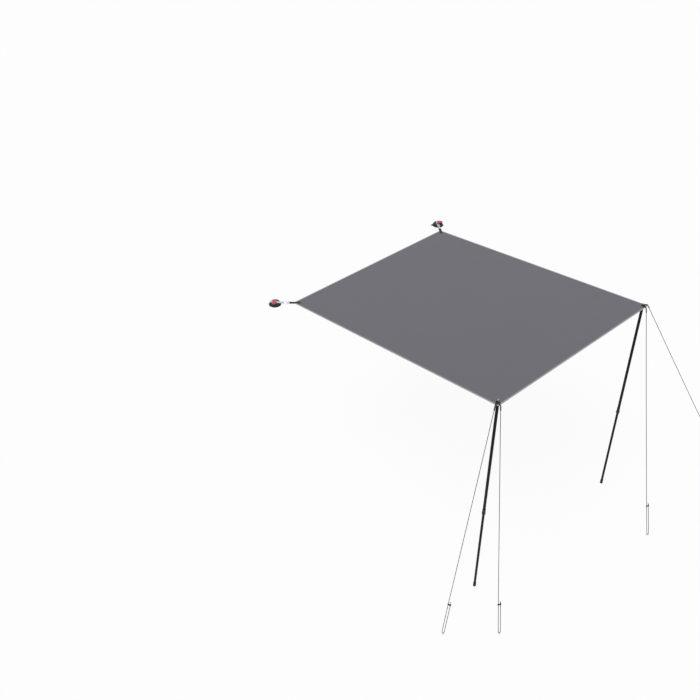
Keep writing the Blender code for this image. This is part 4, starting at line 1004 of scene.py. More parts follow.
    def sew(self, name: str, rows: Sequence[Sequence[Point]], top: float, bottom: float) -> None:
        """Adds a piece's rows of stitches, on its upper and lower face."""
        mesh = stitches(rows, top, bottom, self.stitch, self.thread)
        self.shop.place(f"{name}_stitches", mesh, THREAD, self.place)

    def perimeter(self, inset: float) -> list[Vector]:
        """Follows the sheet's outline at an inset, with evenly many points at every inset.

        Args:
            inset: How far inside the edge the line runs.

        Returns:
            The points, anticlockwise.
        """
        radius = max(self.corner_radius - inset, self.tape_turn)
        near, wide, far = inset + radius, self.width - inset - radius, inset + radius - self.reach
        centres = ((wide, far, -90), (wide, -near, 0), (near, -near, 90), (near, far, 180))
        turns = [arc((x, y), radius, angle, angle + 90, steps=6) for x, y, angle in centres]
        points = []
        for turn, after in zip(turns, turns[1:] + turns[:1]):
            points += [Vector((*point, 0)) for point in turn]
            start, end = Vector((*turn[-1], 0)), Vector((*after[0], 0))
            span = self.reach if abs(end.y - start.y) > abs(end.x - start.x) else self.width
            steps = round(span / (self.cell * self.tape_cell))
            points += [start.lerp(end, step / steps) for step in range(1, steps)]
        return points

    def tape(self) -> Mesh:
        """Makes the folded tape, which waves a little where it was sewn.

        Returns:
            The tape.
        """
        wide, face, inner = self.tape_width, self.tape_face, self.tape_inner
        thin = face - inner
        fold = thin * self.tape_fold
        shoulder = (fold * self.tape_shoulder[0], face * self.tape_shoulder[1])
        outside = [(wide, face), (wide / 2, face), (fold, face), shoulder, (0.0, face / 4)]
        section = outside + [(inset, -height) for inset, height in reversed(outside)]
        section += [(wide, -inner), (thin, -inner), (thin, inner), (wide, inner)]
        waves, layers = self.tape_noise
        loops = []
        for inset, height in section:
            loop, share = [], inset / wide
            for point in self.perimeter(inset):
                seed = Vector((point.x * waves, point.y * waves, height * layers))
                wave = noise.noise(seed) * share
                inwards = Vector((
                    math.copysign(1, self.width / 2 - point.x),
                    math.copysign(1, -self.reach / 2 - point.y), 0,
                ))
                shifted = point + inwards * wave * self.tape_wave[0]
                loop.append(shifted + UP * height * (1 + self.tape_wave[1] * wave))
            loops.append(loop)
        return loft([list(ring) for ring in zip(*loops)], True, self.tape_sharp)

    def eyelets(self, end: End) -> None:
        """Adds an eyelet and its back washer.

        Args:
            end: Which end of the sheet.
        """
        bore, flange, roll = self.eyelet_bore, self.eyelet_flange, self.eyelet_wall / 2
        base = self.thickness / 2 + GAP
        top = base + self.flange_height
        barrel = bore + self.eyelet_wall
        low, high = self.lip
        slope = roll * self.flange_slope
        profile = (
            (bore, low + roll), (bore + roll, low), (self.lip_radius - roll, low),
            (self.lip_radius, high), (barrel, high), (barrel, base), (flange, base),
            (flange - slope, top - roll - slope), ((barrel + flange) / 2, top - slope),
            (barrel + roll, top), (bore, top - roll),
        )
        hole, (low, high) = self.eyelet_hole, self.washer
        ring = ((hole, low), (flange, low), (flange, high), (hole, high))
        matrix = self.place @ Matrix.Translation(self.eyelet_place(end))
        for part, label, line, soft in (
            ("eyelet", "rolled", profile, self.eyelet_soft),
            ("eyelet_washer", "pressed", ring, self.washer_soft),
        ):
            node = f"{end.value}_{part}"
            mesh = lathe(line, self.segments, soft)
            self.shop.place(f"{node}_{label}", mesh, STEEL, matrix, stands_for=[node])

    def build(self) -> None:
        add = self.shop.place
        cloth = add("sheet_cloth", self.cloth(), CLOTH, self.place, stands_for=["sheet_panel"])
        tape = add("edge_tape", self.tape(), TAPE, self.place, stands_for=["edge_binding"])
        line = self.perimeter(self.tape_width * self.tape_seam)
        self.sew("edge_tape", [line + line[:1]], self.tape_face, -self.tape_face)
        self.patches()
        for end in End:
            self.eyelets(end)


@dataclass
class Fitting:
    """Sub-assembly of one end, whose pieces stand for the CAD nodes of the same parts."""

    shop: Workshop
    end: End
    place: Matrix

    def add(
        self, part: str, label: str, mesh: Mesh, finish: Finish,
        body: str = "", shift: Matrix = WORLD, edge: float = 0.0,
    ) -> Object:
        """Adds a piece.

        Args:
            part: The CAD node's name without its end.
            label: What the piece's name adds to the node's.
            mesh: The mesh, in its own coordinates.
            finish: The finish.
            body: The moving body's name without its end, or nothing on the fixed body.
            shift: From the sub-assembly's place to the piece's.
            edge: Width of a bevel on its sharp edges, or 0.

        Returns:
            The piece.
        """
        node = f"{self.end.value}_{part}"
        owner = f"{self.end.value}_{body}" if body else ROOT_BODY
        matrix = self.place @ shift
        return self.shop.place(f"{node}_{label}", mesh, finish, matrix, owner, [node], edge)


@dataclass
class Chain(Fitting):
    """Webbing, D-ring and snap hook between a cup and its corner of the sheet."""

    length: float = 0.1027
    strap_width: float = 0.025
    strap_thickness: float = 0.0016
    strap_sewn: float = 0.070
    strap_lay: float = 0.0025
    strap_flat: float = 0.03
    strap_soft: float = 0.0006
    strap_spacing: float = 0.005
    seam_ends: Pair = (0.009, 0.004)  # from the sheet's edge, and from the strap's end
    seam_side: float = 0.003
    seam_thread: Pair = (0.0032, 0.0007)  # pitch and width
    tape_width: float = 0.014
    ring_wire: float = 0.0025
    ring_bend: float = 0.0035
    ring_half_width: float = 0.0166
    ring_bow: float = 0.0482
    ring_bar: float = 0.0687
    # The weld's swelling: places along the ring's bar, and the wire's scale there.
    weld: tuple = ((0.002, 1.0), (0.001, 1.05), (0, 1.07), (-0.001, 1.05), (-0.002, 1.0))
    hook_wire: float = 0.0030
    hook_bend: float = 0.012
    hook_far_end: float = 0.054
    tongue_thickness: float = 0.0022
    tongue_half_height: float = 0.0024
    gate_nose: float = 0.015
    gate_pivot: float = 0.037
    gate_slot_gap: float = 0.0004
    gate_slot_depth: float = 0.0045
    gate_sweep_gap: float = 0.0006
    pin_radius: float = 0.0010
    pin_head: Steps = ((0.0020, 0), (0.0012, 0.00032), (0, 0.0004))

    def strap(self) -> None:
        """Adds the webbing loop and the stitches that hold it on the sheet."""
        start, rise = self.length + self.strap_sewn, self.strap_thickness / 2
        near = self.length - self.tape_width / 2
        fold = arc((self.ring_bar, 0), self.ring_wire + GAP + rise, 80, 280, steps=20)
        top = [(x, self.strap_lay) for x in (start, near + self.strap_flat, near)]
        outline = top + fold + [(x, -height) for x, height in reversed(top)]
        route = smooth_route([(x, 0, z) for x, z in outline], self.strap_spacing)
        half = self.strap_width / 2
        section = ((-half, -rise), (half, -rise), (half, rise), (-half, rise))
        mesh = sweep(route, soften(section, self.strap_soft), UP)
        self.add("corner_strap", "webbing", mesh, WEBBING)
        low, high = self.length + self.seam_ends[0], start - self.seam_ends[1]
        side = half - self.seam_side
        box = ((low, -side), (high, -side), (high, side), (low, side), (low, -side), (high, side))
        face = self.strap_lay + rise
        mesh = stitches((box, ((low, side), (high, -side))), face, -face, *self.seam_thread)
        self.shop.place(f"{self.end.value}_corner_strap_stitches", mesh, THREAD, self.place)

    def ring(self) -> None:
        """Adds the D-ring, with the swelling of its weld on the bar."""
        bend, half = self.ring_bend, self.ring_half_width
        corner = arc((self.ring_bar - bend, half - bend), bend, 90, 0, steps=8)
        bow = arc((self.ring_bow + half, 0), half, 270, 90, steps=40)
        outline = corner + [(self.ring_bar, y) for y, _ in self.weld]
        outline += [(x, -y) for x, y in reversed(corner)] + bow
        scales = [1.0] * len(corner) + [scale for _, scale in self.weld]
        scales += [1.0] * (len(corner) + len(bow))
        route = [(x, y, 0) for x, y in outline]
        mesh = sweep(route, circle(self.ring_wire, sides=24), UP, scales, closed=True)
        self.add("d_ring", "wire", mesh, STEEL)

    def tongue(self, pointing: int, place: float) -> Mesh:
        """Makes a flat tongue on an end of the hook's wire.

        Args:
            pointing: 1 where it points away from the cup, -1 towards it.
            place: Centre of its round tip.

        Returns:
            The tongue.
        """
        height = self.tongue_half_height
        start = -90 if pointing > 0 else 90
        outline = arc((place, 0), height, start, start + 180, steps=14)
        room = self.gate_slot_depth + self.gate_sweep_gap + self.hook_wire
        back = place - pointing * room
        outline += [(back, height * pointing), (back, -height * pointing)]
        half = self.tongue_thickness / 2
        return prism(outline, -half, half, Matrix.Translation(UP * self.hook_bend) @ UPRIGHT)

    def hook(self) -> None:
        """Adds the hook's bent wire body with its two flattened ends."""
        bend = self.hook_bend
        nose = self.gate_nose - self.gate_sweep_gap
        tail = self.gate_pivot + self.hook_wire + self.gate_sweep_gap
        outline = [(nose, bend)] + arc((bend, 0), bend, 90, 270, steps=28)
        outline += arc((self.hook_far_end - bend, 0), bend, -90, 90, steps=28) + [(tail, bend)]
        route = [(x, 0, z) for x, z in outline]
        mesh = sweep(route, circle(self.hook_wire, sides=24), (0, 1, 0))
        tongues = [
            self.tongue(-1, self.gate_pivot),
            self.tongue(1, self.gate_nose + self.gate_slot_depth / 3),
        ]
        self.add("snap_hook", "wire", combine(mesh, "UNION", tongues), STEEL)

    def gate(self) -> None:
        """Adds the slotted gate and its riveted pin."""
        radius, length = self.hook_wire, self.gate_pivot - self.gate_nose
        tall = radius * 2
        mesh = rod(radius, (-length, 0, 0), (radius, 0, 0), sides=32)
        outline = arc((0, 0), radius, -90, 90, steps=16) + [(-length, radius), (-length, -radius)]
        mesh = combine(mesh, "INTERSECT", [prism(outline, -tall, tall, UPRIGHT)])
        slot = self.tongue_thickness / 2 + self.gate_slot_gap
        depth = self.gate_slot_depth - length
        cuts = [
            block((-length - slot, -slot, -tall), (depth, slot, tall)),
            block((-radius - self.gate_sweep_gap, -slot, -tall), (tall, slot, tall)),
        ]
        mesh = combine(mesh, "DIFFERENCE", cuts)
        pivot = Matrix.Translation((self.gate_pivot, 0, self.hook_bend))
        self.add("snap_hook_gate", "bar", mesh, STEEL, "gate", pivot)
        mesh = headed_pin(self.pin_radius, radius + GAP, self.pin_head, segments=32)
        self.add("snap_hook_pin", "riveted", mesh, TURNED, shift=pivot @ UPRIGHT)

    def build(self) -> None:
        """Adds one end's chain."""
        self.strap()
        self.ring()
        self.hook()
        self.gate()


@dataclass
class Cup(Fitting):
    """Vacuum cup: pad, housing, hook plate, rivets, stem, lever and its pin."""

    pad_radius: float = 0.060
    pad_thickness: float = 0.0060
    pad_rim: float = 0.0018
    pad_chamfer: float = 0.0010
    pad_floor: float = 0.0022
    pad_soft: float = 0.0005
    pad_ridges: Pair = (0.25, 0.55)  # shares of the way from lip to skirt
    pad_ridge: Steps = ((0.0006, 0), (0, 0.0005), (-0.0006, 0))
    pocket_gap: float = 0.0004
    seat_margin: float = 0.0010
    tab_length: float = 0.014
    tab_width: float = 0.022
    tab_corner: float = 0.0066
    tab_thickness: float = 0.0020
    tab_lift: float = 0.0010
    grips: int = 4
    grip_start: float = 0.0025
    grip_pitch: float = 0.0026
    grip_margin: float = 0.0035
    grip_half: Pair = (0.0005, 0.0004)  # along the tab, and up
    housing_radius: float = 0.0500
    housing_draft: float = 0.0015
    housing_base: float = 0.0063
    housing_height: float = 0.0240
    housing_soft: float = 0.0007
    foot_step: Steps = ((0, 0), (-0.0001, 0.0038), (-0.0009, 0.0042))
    crown_groove: Steps = (
        (0, 0), (-0.0040, 0), (-0.0048, -0.0006), (-0.0090, -0.0006), (-0.0098, 0),
    )
    shoulder_drop: float = 0.0050
    shoulder_width: float = 0.0055
    shoulder_draft: float = 0.0005
    shoulder_round: float = 0.3
    wall: float = 0.0025
    hub_bore: float = 0.0054
    hub_radius: float = 0.0104
    hub_bottom: float = 0.0094
    ribs: int = 6
    rib_thickness: float = 0.0020
    rib_rise: float = 0.0004
    plate_bottom: float = 0.0243
    plate_top: float = 0.0263
    plate_width: float = 0.030
    plate_tail: float = 0.048
    plate_neck: float = 0.048
    plate_edge: float = 0.00035
    eye_distance: float = 0.0720
    eye_radius: float = 0.0070
    eye_margin: float = 0.0060
    rivet_distance: float = 0.0330
    rivet_radius: float = 0.0019
    rivet_head: float = 0.0040
    rivet_lip: float = 0.0002
    rivet_rise: float = 0.0016
    rivet_foot: Pair = (0.0032, 0.001)  # radius and height
    stem_radius: float = 0.0050
    stem_soft: float = 0.0004
    flange_radius: float = 0.0170
    flange_bottom: float = 0.0065
    flange_thickness: float = 0.0025
    head_width: float = 0.0100
    head_radius: float = 0.0063
    head_drop: float = 0.0055
    pivot: float = 0.0371
    lift: float = 0.0040
    swing: float = math.radians(105)
    cam_flat: float = 0.0065
    cam_released: float = 0.0065
    cam_locked: float = 0.0105
    cam_steps: int = 24
    handle_start: Pair = (0.30, 0.35)  # shares of its length, on top and below
    handle_steps: int = 10
    hub_half: float = 0.0133
    lever_half: float = 0.0180
    slot_depth: float = 0.0086633
    lever_length: float = 0.0510
    lever_tip: float = 0.0080
    lever_tip_thickness: float = 0.0030
    lever_taper: float = 0.8
    lever_drop: float = 0.0090
    lever_wall: float = 0.0026
    lever_edge: float = 0.0005
    pockets: int = 3
    pocket_shares: Row = (0.42, 0.52, 0.62, 0.72, 0.82)
    grooves: Row = (0.60, 0.68, 0.76)
    groove_half: Pair = (0.0006, 0.0005)  # along the handle, and deep
    groove_clear: float = 0.004
    groove_width: float = 0.55
    pin_radius: float = 0.0025
    pin_head: Steps = ((0.0036, 0), (0.0036, 0.0004), (0.00252, 0.0009), (0, 0.0010))
    segments: int = 128

    def __post_init__(self) -> None:
        """Turns the lever to the side that its handle points to."""
        self.turn = Matrix.Rotation(math.pi if self.end is End.FRONT else 0, 4, "Z")

    def pad(self) -> None:
        """Adds the rubber pad: lip, two ridges, seat and a gripped release tab."""
        pocket = self.flange_radius + self.pocket_gap
        seat, rim, thick = self.housing_radius + self.seat_margin, self.pad_rim, self.pad_thickness
        skirt, lip = seat + rim, self.pad_radius - self.pad_chamfer
        profile = [(0, 0), (lip, 0), (self.pad_radius, rim / 2), (lip, rim)]
        for share in self.pad_ridges:
            start = (lip + (skirt - lip) * share, rim + (thick - 2 * rim) * share ** 2)
            profile += moved(start, self.pad_ridge)
        profile += [
            (skirt, thick - rim), (seat, thick), (pocket, thick), (pocket, self.pad_floor),
            (0, self.pad_floor),
        ]
        mesh = lathe(profile, self.segments, self.pad_soft)
        half, corner = self.tab_width / 2, self.tab_corner
        tip = self.pad_radius + self.tab_length
        outline = [(-half, skirt), (half, skirt)]
        outline += arc((half - corner, tip - corner), corner, 0, 90, steps=10)
        outline += arc((corner - half, tip - corner), corner, 90, 180, steps=10)
        top = self.tab_lift + self.tab_thickness
        turn = self.turn @ Matrix.Rotation(math.pi, 4, "Z")
        tools = [prism(outline, self.tab_lift, top, turn)]
        wide, (long, tall) = half - self.grip_margin, self.grip_half
        for step in range(self.grips):
            y = self.pad_radius + self.grip_start + step * self.grip_pitch
            grip = block((-wide, y - long, top - tall), (wide, y + long, top + tall))
            grip.transform(turn)
            tools.append(grip)
        self.add("cup_pad", "rubber", combine(mesh, "UNION", tools), RUBBER)

    def housing(self) -> None:
        """Adds the moulded housing with its ribs inside and a fine step round its foot."""
        radius, top, wall = self.housing_radius, self.housing_height, self.wall
        base, bottom = self.housing_base, self.hub_bottom
        shoulder, ceiling = radius - self.housing_draft, top - wall
        level = top - self.shoulder_drop
        crest = shoulder - self.shoulder_width
        inwards, down = self.shoulder_width, self.shoulder_drop
        profile = [
            *moved((radius, base), self.foot_step),
            (shoulder - self.shoulder_draft, level),
            (shoulder - inwards * self.shoulder_round, top - down * self.shoulder_round),
            *moved((crest, top), self.crown_groove),
            (self.hub_bore, top), (self.hub_bore, bottom),
            (self.hub_radius, bottom), (self.hub_radius, ceiling),
            (crest - wall / 2, ceiling), (shoulder - wall, level - wall / 2),
            (radius - wall, base),
        ]
        meshes = [lathe(profile, self.segments, self.housing_soft)]
        half = self.rib_thickness / 2
        inside, outside, low = self.hub_radius - half, shoulder - wall / 2, bottom + self.rib_rise
        outline = ((inside, low), (outside, low), (outside, level - half))
        outline += ((crest - wall / 2 - half, ceiling + half), (inside, ceiling + half))
        for index in range(self.ribs):
            turn = Matrix.Rotation(math.tau * index / self.ribs, 4, "Z")
            meshes.append(prism(outline, -half, half, turn @ SIDEWAYS))
        self.add("cup_housing", "moulding", gather(meshes), BLACK)

    def plate(self) -> None:
        """Adds the stainless hook plate and its two rivets."""
        half, neck, eye = self.plate_width / 2, self.plate_neck, self.eye_distance
        outline = arc((eye, 0), self.eye_radius + self.eye_margin, -80, 80, steps=28)
        outline.append((neck, half))
        outline += arc((half - self.plate_tail, 0), half, 90, 270, steps=28)
        outline.append((neck, -half))
        mesh = prism(outline, self.plate_bottom, self.plate_top)
        over = self.plate_top - self.plate_bottom
        low, high = self.plate_bottom - over, self.plate_top + over
        holes = ((0, self.hub_bore, 48), (eye, self.eye_radius, 64))
        cuts = [rod(radius, (x, 0, low), (x, 0, high), sides) for x, radius, sides in holes]
        mesh = combine(mesh, "DIFFERENCE", cuts)
        self.add("cup_hook_plate", "steel", mesh, STEEL, edge=self.plate_edge)
        base, foot = self.plate_top + GAP, self.housing_height - self.wall - GAP
        wide, deep = self.rivet_foot
        radius, head, lip = self.rivet_radius, self.rivet_head, self.rivet_lip
        crown = self.rivet_rise - lip
        quarter = arc((0, 0), 1, 0, 90, steps=8)[:-1]
        dome = [(head * x, base + lip + crown * y) for x, y in quarter]
        profile = [
            (0, foot - deep), (wide, foot - deep), (wide, foot), (radius, foot),
            (radius, base), (head, base), *dome, (0, base + self.rivet_rise),
        ]
        for side, label in ((1, "eye"), (-1, "tail")):
            shift = Matrix.Translation((side * self.rivet_distance, 0, 0))
            self.add(f"cup_rivet_{label}", "dome", lathe(profile, segments=40), STEEL, shift=shift)

    def stem(self) -> None:
        """Adds the flanged stem, its flat-sided head and the lever's pin."""
        base = self.pivot - self.head_drop
        low, flange = self.flange_bottom, self.flange_bottom + self.flange_thickness
        neck, wide, thin = base + self.head_drop / 4, self.flange_radius, self.stem_radius
        profile = [(0, low), (wide, low), (wide, flange), (thin, flange), (thin, neck), (0, neck)]
        shaft = lathe(profile, self.segments // 2, self.stem_soft)
        outline = [(-self.head_radius, base), (self.head_radius, base)]
        outline += arc((0, self.pivot), self.head_radius, 0, 180, steps=24)
        over, half = self.head_width, self.head_width / 2
        head = prism(soften(outline, self.stem_soft / 2), -half, half, SIDEWAYS)
        bore = rod(self.pin_radius + GAP, (-over, 0, self.pivot), (over, 0, self.pivot))
        mesh = combine(combine(shaft, "UNION", [head]), "DIFFERENCE", [bore])
        self.add("cup_stem", "turned", mesh, TURNED, "stem")
        mesh = headed_pin(self.pin_radius, self.hub_half + GAP, self.pin_head, segments=48)
        shift = Matrix.Translation(UP * self.pivot) @ Matrix.Rotation(math.radians(90), 4, "Y")
        self.add("cup_lever_pin", "headed", mesh, STEEL, "stem", shift)

    def handle_point(self, share: float, side: float) -> Pair:
        """Gives a point of the handle's side view.

        Args:
            share: Share of the handle's length.
            side: 0 on its top, 1 on its underside.

        Returns:
            The (forwards, up) point about the pin.
        """
        top = self.cam_released - self.lever_drop * share ** 2
        tip = self.lever_tip_thickness
        thickness = tip + (self.cam_locked - tip) * (1 - share) ** self.lever_taper
        return self.lever_length * share, top - thickness * side

    def cam_outline(self) -> list[tuple]:
        """Draws the lever's side view: an involute cam and an arched handle.

        Returns:
            The (forwards, up) outline about the pin.
        """
        gain = self.lift / self.swing
        points = [(self.cam_flat, -self.cam_locked)]
        for step in range(self.cam_steps + 1):
            swung = self.swing * step / self.cam_steps
            radius = self.cam_locked - gain * swung
            sine, cosine = math.sin(-math.pi / 2 - swung), math.cos(-math.pi / 2 - swung)
            points.append((radius * cosine - gain * sine, radius * sine + gain * cosine))
        points += arc((0, 0), self.cam_released, 270 - math.degrees(self.swing), 90, steps=14)
        shares = [step / self.handle_steps for step in range(self.handle_steps + 1)]
        top, below = self.handle_start
        points += [self.handle_point(top + (1 - top) * share, 0) for share in shares]
        points += [self.handle_point(1 - (1 - below) * share, 1) for share in shares]
        return points

    def lever_plan(self) -> list[tuple]:
        """Draws the lever's view from above: a narrow hub and a wide, round-cornered handle.

        Returns:
            The (across, forwards) outline about the pin.
        """
        half, hub, tip, tall = self.lever_half, self.hub_half, self.lever_tip, self.lever_length
        flare = self.slot_depth + self.lever_wall
        right = [(hub, -tall), (hub, flare), (half, flare + half - hub)]
        right += arc((half - tip, tall - tip), tip, 0, 90, steps=14)
        return right + [(-x, y) for x, y in reversed(right)]

    def lever(self) -> None:
        """Adds the red lever: cam cheeks, arched handle, pockets below and grips on top."""
        half, tall, wall = self.lever_half, self.lever_length, self.lever_wall
        mesh = prism(self.cam_outline(), -half, half, SIDEWAYS)
        mesh = combine(mesh, "INTERSECT", [prism(self.lever_plan(), -tall, tall)])
        slot = self.head_width / 2 + GAP
        cuts = [
            block((-slot, -tall, -tall), (slot, self.slot_depth, tall)),
            rod(self.pin_radius + GAP, (-tall, 0, 0), (tall, 0, 0)),
        ]
        pitch = (2 * half - wall) / self.pockets
        shares = self.pocket_shares
        hollow = moved((0, -wall), [self.handle_point(share, 0) for share in shares])
        hollow += [(tall * shares[-1], -tall), (tall * shares[0], -tall)]
        for index in range(self.pockets):
            low = index * pitch - half + wall
            cuts.append(prism(hollow, low, low + pitch - wall, SIDEWAYS))
        wide, (long, deep) = half * self.groove_width, self.groove_half
        for share in self.grooves:
            groove = block((-wide, -long, -deep), (wide, long, self.groove_clear))
            lean = math.atan2(-2 * self.lever_drop * share, tall)
            shift = Matrix.Translation((0, *self.handle_point(share, 0)))
            groove.transform(shift @ Matrix.Rotation(lean, 4, "X"))
            cuts.append(groove)
        mesh = combine(mesh, "DIFFERENCE", cuts)
        shift = Matrix.Translation(UP * self.pivot) @ self.turn
        self.add("cup_lever", "moulding", mesh, RED, "lever", shift, self.lever_edge)

    def build(self) -> None:
        """Adds one cup."""
        self.pad()
        self.housing()
        self.plate()
        self.stem()
        self.lever()


@dataclass
class Pole(Fitting):
    """Two-section pole: spigot, plug, tubes, twist lock and foot."""

    upper_radius: float = 0.0125
    upper_bore: float = 0.0114
    lower_radius: float = 0.0110
    lower_bore: float = 0.0100
    spigot_radius: float = 0.0045
    spigot_stickout: float = 0.034
    spigot_seat: float = 0.042
    spigot_groove: Steps = (
        (0, -0.0135), (-0.0005, -0.0130), (-0.0005, -0.0115), (0, -0.0110),
    )
    plug_shoulder: float = -0.0046708
    plug_collar: float = -0.0126708
    plug_skirt: float = 0.040
    plug_lead: Pair = (0.001, 0.003)  # inwards and up
    plug_tilt: float = math.radians(15.027386)
    tube_top: float = -0.0129708
    tube_end: float = -1.2129708
    tube_bead: Steps = (
        (0, -0.0245), (-0.0003, -0.0238), (-0.0003, -0.0222), (0, -0.0215), (0, 0),
    )
    lower_top: float = -1.0129708
    sleeve_bore: float = 0.0113
    collet_wall: float = 0.0017
    collet_grip: float = 0.030
    collet_neck: float = 0.0060
    collet_groove: Steps = ((0, 0), (0, 0.004), (-0.0005, 0.0046), (-0.0005, 0.0060), (0, 0.0066))
    finger_length: float = 0.024
    finger_root: float = 0.0021
    finger_tip: float = 0.0014
    slots: int = 4
    slot_width: float = 0.0018
    ring_wall: float = 0.0016
    ring_ribs: int = 14
    ring_rib: float = 0.0009
    rib_steps: int = 10
    rib_slope: float = 4.0
    rib_start: float = 0.5
    ring_sharp: float = 40.0
    ring_lip: float = 0.0035
    ring_plain: Pair = (0.003, 0.005)  # from an end to where ribs start, and are full
    ring_lead: Pair = (0.0006, 0.0004)  # inwards on its top, and down its inside
    foot_wall: float = 0.0027
    foot_height: float = 0.045
    foot_sole: float = 0.0060
    foot_edge: Steps = ((-0.001, 0), (0, 0.003))
    foot_taper: float = 0.0012
    foot_grooves: Row = (0.32, 0.50, 0.68, 0.86)
    foot_groove: Steps = ((0, -0.0018), (-0.0006, 0), (0, 0.0018))
    soft: float = 0.0003
    plug_soft: float = 0.0006
    foot_soft: float = 0.0008
    segments: int = 72

    def turned(
        self, part: str, profile: Sequence[Point], soft: float, finish: Finish, body: str
    ) -> None:
        """Turns a piece and adds it."""
        self.add(f"pole_{part}", "fine", lathe(profile, self.segments, soft), finish, body)

    def top(self) -> None:
        """Adds the spigot and the coned plug that it stands in."""
        radius, high, seat = self.spigot_radius, self.spigot_stickout, self.spigot_seat
        profile = [(0, -seat), (radius, -seat)] + moved((radius, high), self.spigot_groove)
        profile += arc((0, high - radius), radius, 0, 90, steps=12)
        self.turned("spigot", profile, 0.0, STEEL, "pole")
        bore, skirt, wide = radius + GAP, self.upper_bore - GAP, self.upper_radius
        cone = self.plug_shoulder - (wide - bore) * math.tan(self.plug_tilt)
        bottom, low = self.tube_top - self.plug_skirt, -seat - GAP
        lead, lead_height = self.plug_lead
        profile = (
            (0, bottom), (skirt - lead, bottom), (skirt, bottom + lead_height),
            (skirt, self.plug_collar), (wide, self.plug_collar), (wide, cone),
            (bore, self.plug_shoulder), (bore, low), (0, low),
        )
        self.turned("top_plug", profile, self.plug_soft, BLACK, "pole")

    def tubes(self, ground: float) -> None:
        """Adds the two tubes, the upper with a rolled bead where the plug ends.

        Args:
            ground: Height of the ground under the pole's pivot.
        """
        outer, inner, top, end = self.upper_radius, self.upper_bore, self.tube_top, self.tube_end
        bead = moved((outer, top), self.tube_bead)
        profile = [(outer, end), *bead, (inner, top), (inner, end)]
        self.turned("upper_tube", profile, self.soft, COATED, "pole")
        outer, inner, top = self.lower_radius, self.lower_bore, self.lower_top
        low = ground + self.foot_sole + GAP
        profile = ((outer, low), (outer, top), (inner, top), (inner, low))
        self.turned("lower_tube", profile, self.soft, COATED, "lower_pole")

    def collet(self, low: float, neck: float) -> None:
        """Adds the slotted collet on the upper tube's end.

        Args:
            low: Height of its fingers' tips.
            neck: Height of their roots.
        """
        bore, wall = self.sleeve_bore, self.collet_wall
        socket, seat = self.upper_radius + GAP, self.tube_end - GAP
        top = self.tube_end + self.collet_grip
        outside = socket + wall
        profile = [
            (socket, top), (socket, seat), (bore, seat), (bore, low),
            (bore + self.finger_tip, low), (bore + self.finger_root, neck),
            *moved((outside, neck), self.collet_groove),
            (outside, top - wall * 2), (outside - wall / 2, top),
        ]
        mesh = lathe(profile, self.segments, self.soft)
        half, cuts = self.slot_width / 2, []
        corner = (self.lower_radius / 2, -half, low - half)
        for index in range(self.slots):
            slot = block(corner, (outside, half, neck - self.collet_neck / 2))
            turn = math.tau * (index + 0.5) / self.slots
            slot.transform(Matrix.Rotation(turn, 4, "Z"))
            cuts.append(slot)
        self.add("pole_collet", "fine", combine(mesh, "DIFFERENCE", cuts), BLACK, "pole")

    def lock_ring(self, low: float, neck: float) -> None:
        """Adds the ribbed twist ring over the collet's fingers.

        Args:
            low: Height of the fingers' tips.
            neck: Height of their roots.
        """
        bore, root = self.sleeve_bore, self.sleeve_bore + self.finger_root + GAP
        tip, valley = bore + self.finger_tip + GAP, root + self.ring_wall
        seat, high, base = low - GAP, neck - GAP, low - GAP - self.ring_lip
        plain, ribbed = self.ring_plain
        lead, lead_drop = self.ring_lead
        profile = [
            (valley, base, 0), (valley, base + plain, 0), (valley, base + ribbed, 1),
            (valley, high - ribbed, 1), (valley, high - plain, 0), (valley, high, 0),
            (valley - lead, high, 0), (root, high, 0), (root, high - lead_drop, 0),
            (tip, seat, 0), (bore, seat, 0), (bore, base, 0),
        ]
        rings = []
        for index in range(self.ring_ribs * self.rib_steps):
            place = index / self.rib_steps % 1.0
            bump = self.ring_rib * ease(self.rib_slope * min(place, 1 - place) - self.rib_start)
            angle = math.tau * index / (self.ring_ribs * self.rib_steps)
            out = Vector((math.cos(angle), math.sin(angle), 0))
            rings.append([out * (radius + bump * share) + UP * z for radius, z, share in profile])
        mesh = loft(rings, True, self.ring_sharp)
        self.add("pole_lock_ring", "fine", mesh, BLACK, "lock_ring")

    def foot(self, ground: float) -> None:
        """Adds the rubber foot with its grooves and rounded sole.

        Args:
            ground: Height of the ground under the pole's pivot.
        """
        bore, widest = self.sleeve_bore, self.sleeve_bore + self.foot_wall
        sole, top = ground + self.foot_sole, ground + self.foot_height
        profile = [(0, ground)] + moved((widest, ground), self.foot_edge)
        for share in self.foot_grooves:
            start = (widest - self.foot_taper * share, ground + self.foot_height * share)
            profile += moved(start, self.foot_groove)
        profile += [(widest - self.foot_taper, top), (bore, top), (bore, sole), (0, sole)]
        self.turned("foot", profile, self.foot_soft, RUBBER, "lower_pole")

    def build(self) -> None:
        """Adds one pole."""
        ground = GROUND - self.place.translation.z
        neck = self.tube_end - self.collet_neck
        self.top()
        self.tubes(ground)
        self.collet(neck - self.finger_length, neck)
        self.lock_ring(neck - self.finger_length, neck)
        self.foot(ground)


